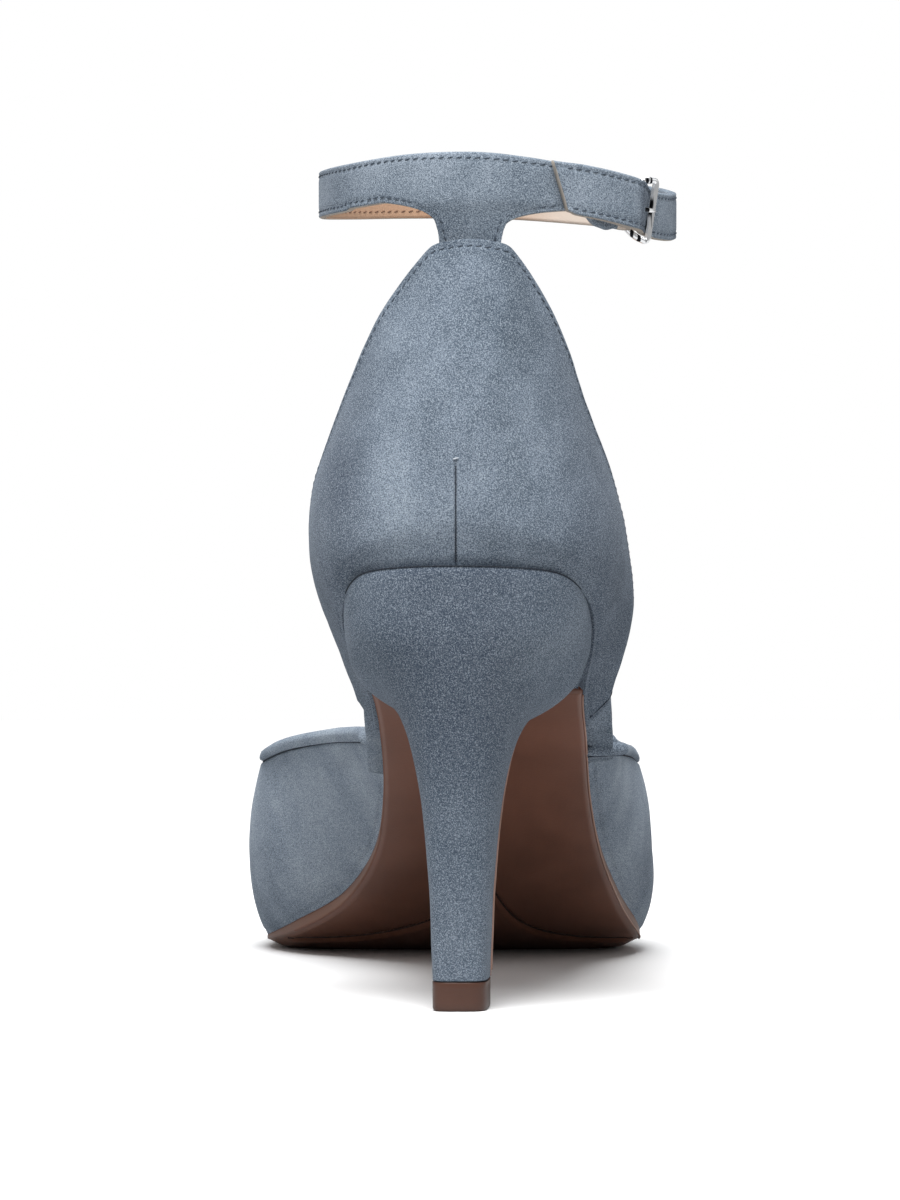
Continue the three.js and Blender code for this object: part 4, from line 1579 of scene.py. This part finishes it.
def prong_at(u, v):
    rear, ahead, up, out, pitch = buckle_basis()
    points = [rear + ahead * a + out * o for a, o in PRONG]
    centre = spline(points, v)
    run = (spline(points, min(v + 0.01, 1)) - spline(points, max(v - 0.01, 0))).normalized()
    side = run.cross(up).normalized()
    radius = PRONG_RADIUS * math.sqrt(max(1 - smooth(0.85, 1.0, v) ** 2 * 0.8, 0.05))
    angle = 2 * math.pi * u
    return centre + side * (radius * math.cos(angle)) + up * (radius * math.sin(angle))


def build_prong():
    piece("buckle_prong_wire", closed(grid(16, 60, prong_at)), [METAL], ["buckle_prong"])


ROLL_RADIUS = 1.5
# The ends of the bound roll on each side of the waist, as x, along and rise.
ROLL_ENDS = {
    "inner": ((-19.8, 73.5, 49.5), (-15.0, 66.0, 49.2)),
    "outer": ((33.4, 69.9, 47.3), (24.8, 65.2, 47.1)),
}


def build_rolls():
    for side, ends in ROLL_ENDS.items():
        roll("binding_end_" + side, ends, ROLL_RADIUS, VAMP_SUEDE)
        for line, way, start in (("seam", -1, 0.06), ("top", 0.8, 0.5)):
            at = beside_roll(ends, ROLL_RADIUS - 0.05, way)
            # Painted shadow lines: dark cords under and over each roll's rear side.
            cord(f"binding_end_{line}_{side}", at, start, 0.94, 0.16, SEAM_SHADOW, 30)


STRAP_FACE = STRAP_THICK / 2 - 0.1
LINING_FACE = -STRAP_THICK / 2
TAIL_END = 0.9955


def build_stitches():
    tab = inset_path(strap_path(0.1, False, STRAP_FACE + 0.15), 1.15)
    rows = {
        "strap_stitches_top": (strap_path(1.1, True, STRAP_FACE), 0.03, TAIL_END, THREAD),
        "strap_stitches_low": (strap_path(1.2, False, STRAP_FACE), 0.03, 0.12, THREAD),
        "strap_stitches_tab": (tab, 0.12, 0.49, THREAD),
        "strap_stitches_inner": (strap_path(1.2, False, STRAP_FACE), 0.49, TAIL_END, THREAD),
        "lining_stitches": (strap_path(1.3, True, LINING_FACE), 0.5, 0.9, TAN_THREAD),
        "lining_stitches_low": (strap_path(1.5, False, LINING_FACE), 0.5, 0.72, TAN_THREAD),
    }
    for name, (at, start, end, thread) in rows.items():
        stitches(name, row(at, start, end), thread)
    stitches("quarter_stitches", row(quarter_row, 0.035, 0.965), THREAD, HEAVY_THICK)


def build_dart():
    # The dart's dark line is a painted shadow in its groove.
    cord("dart_seam", dart_at, 0.0, 0.3, 0.09, SEAM_SHADOW, 80)
    tack, out = dart_at(0.322)
    stitches("dart_tack", [(tack + out * 0.4, Vector((1, 0, 0)), out)], PALE_THREAD, HEAVY_THICK)


def build_seams():
    # The dark cords are painted shadow lines along seams and under folded edges; the pad border is a painted
    # shadow line too.
    cord("quarter_end_seam", quarter_end, 0.0, 1.0, 0.2, SEAM_SHADOW, 60)
    cord("heel_seam", rim_at, 0.2, 0.8, 0.13, SEAM_SHADOW)
    cord("vamp_seam", vamp_seam, 0.0, 1.0, 0.22, SEAM_SHADOW)
    cord("breast_edge_inner", breast_edge(-1), 0.0, 1.0, 0.3, RAW_EDGE)
    cord("breast_edge_outer", breast_edge(1), 0.0, 1.0, 0.3, RAW_EDGE)
    cord("pad_border", pad_line, 0.0, 1.0, 0.24, PAD_SHADOW, 200)
    cord("sole_line_outer", sole_edge(1), 0.0, 1.0, 0.16, RAW_EDGE)


build_quarter()
build_vamp()
build_binding()
build_heel()
build_sole()
build_cover()
build_lift()
build_footbed()
build_strips()
build_rolls()
build_sock()
build_strap()
build_buckle()
build_prong()
build_stitches()
build_dart()
build_seams()


# Floor, light and camera

# Half the floor's width in metres.
FLOOR_HALF = 1.05


def build_stage():
    """A floor that is pale to the camera and darker in the light that it throws back."""
    bm = bmesh.new()
    bmesh.ops.create_grid(bm, x_segments=2, y_segments=2, size=FLOOR_HALF)
    mesh = bpy.data.meshes.new("floor")
    bm.to_mesh(mesh)
    bm.free()
    floor = bpy.data.objects.new("floor", mesh)
    bpy.context.scene.collection.objects.link(floor)
    graph = Graph("floor_paint", Roughness=0.9, Specular_IOR_Level=0.0)
    seen = graph.node("ShaderNodeLightPath", out="Is Camera Ray")
    graph.finish(graph.blend((0.5, 0.5, 0.5, 1), (0.95, 0.95, 0.95, 1), seen))
    mesh.materials.append(graph.material)


def light(name, spot, aim, size, power):
    """A square studio light: place, aim and size in metres."""
    data = bpy.data.lights.new(name, "AREA")
    data.size = size
    data.energy = power
    obj = bpy.data.objects.new(name, data)
    obj.location = spot
    obj.rotation_mode = "QUATERNION"
    obj.rotation_quaternion = (Vector(aim) - Vector(spot)).to_track_quat("-Z", "Y")
    bpy.context.scene.collection.objects.link(obj)


# The photo's camera: millimetres aside, behind and up, its picture in pixels, its tilt in degrees.
CAMERA_ASIDE = -2.1
CAMERA_BACK = 1220
CAMERA_RISE = 120
FOCAL_PIXELS = 6360
IMAGE_TALL = 1200
CAMERA_TILT = 1.937
SENSOR = 36


def build_camera():
    data = bpy.data.cameras.new("camera")
    data.sensor_width = SENSOR
    data.lens = SENSOR * FOCAL_PIXELS / IMAGE_TALL
    data.clip_start = 0.05
    data.clip_end = 50
    obj = bpy.data.objects.new("camera", data)
    obj.location = Vector((CAMERA_ASIDE, -CAMERA_BACK, CAMERA_RISE)) * MM
    obj.rotation_euler = (math.radians(90 - CAMERA_TILT), 0, 0)
    bpy.context.scene.collection.objects.link(obj)
    bpy.context.scene.camera = obj


SURROUND_SEEN = 1.0
SURROUND_CAST = 0.18


def build_world():
    """A white surround as the camera sees it, which lights the shoe more softly."""
    world = bpy.data.worlds.new("world")
    bpy.context.scene.world = world
    world.use_nodes = True
    tree = world.node_tree
    soft = tree.nodes["Background"]
    soft.inputs["Color"].default_value = (1, 1, 1, 1)
    soft.inputs["Strength"].default_value = SURROUND_CAST
    white = tree.nodes.new("ShaderNodeBackground")
    white.inputs["Color"].default_value = (1, 1, 1, 1)
    white.inputs["Strength"].default_value = SURROUND_SEEN
    ray = tree.nodes.new("ShaderNodeLightPath")
    both = tree.nodes.new("ShaderNodeMixShader")
    tree.links.new(ray.outputs["Is Camera Ray"], both.inputs[0])
    tree.links.new(soft.outputs[0], both.inputs[1])
    tree.links.new(white.outputs[0], both.inputs[2])
    tree.links.new(both.outputs[0], tree.nodes["World Output"].inputs["Surface"])


SHOE_MIDDLE = (0, 0.05, 0.08)
build_stage()
light("key", (-0.12, -0.72, 1.65), SHOE_MIDDLE, 1.0, 50)
light("left_fill", (-1.3, -0.5, 0.9), SHOE_MIDDLE, 0.9, 3)
light("right_fill", (1.3, -0.4, 0.8), SHOE_MIDDLE, 0.9, 2)
light("front", (0.0, 1.4, 1.1), (0, 0.1, 0.05), 1.2, 8)
build_camera()
build_world()
bpy.context.scene.view_settings.view_transform = "Standard"
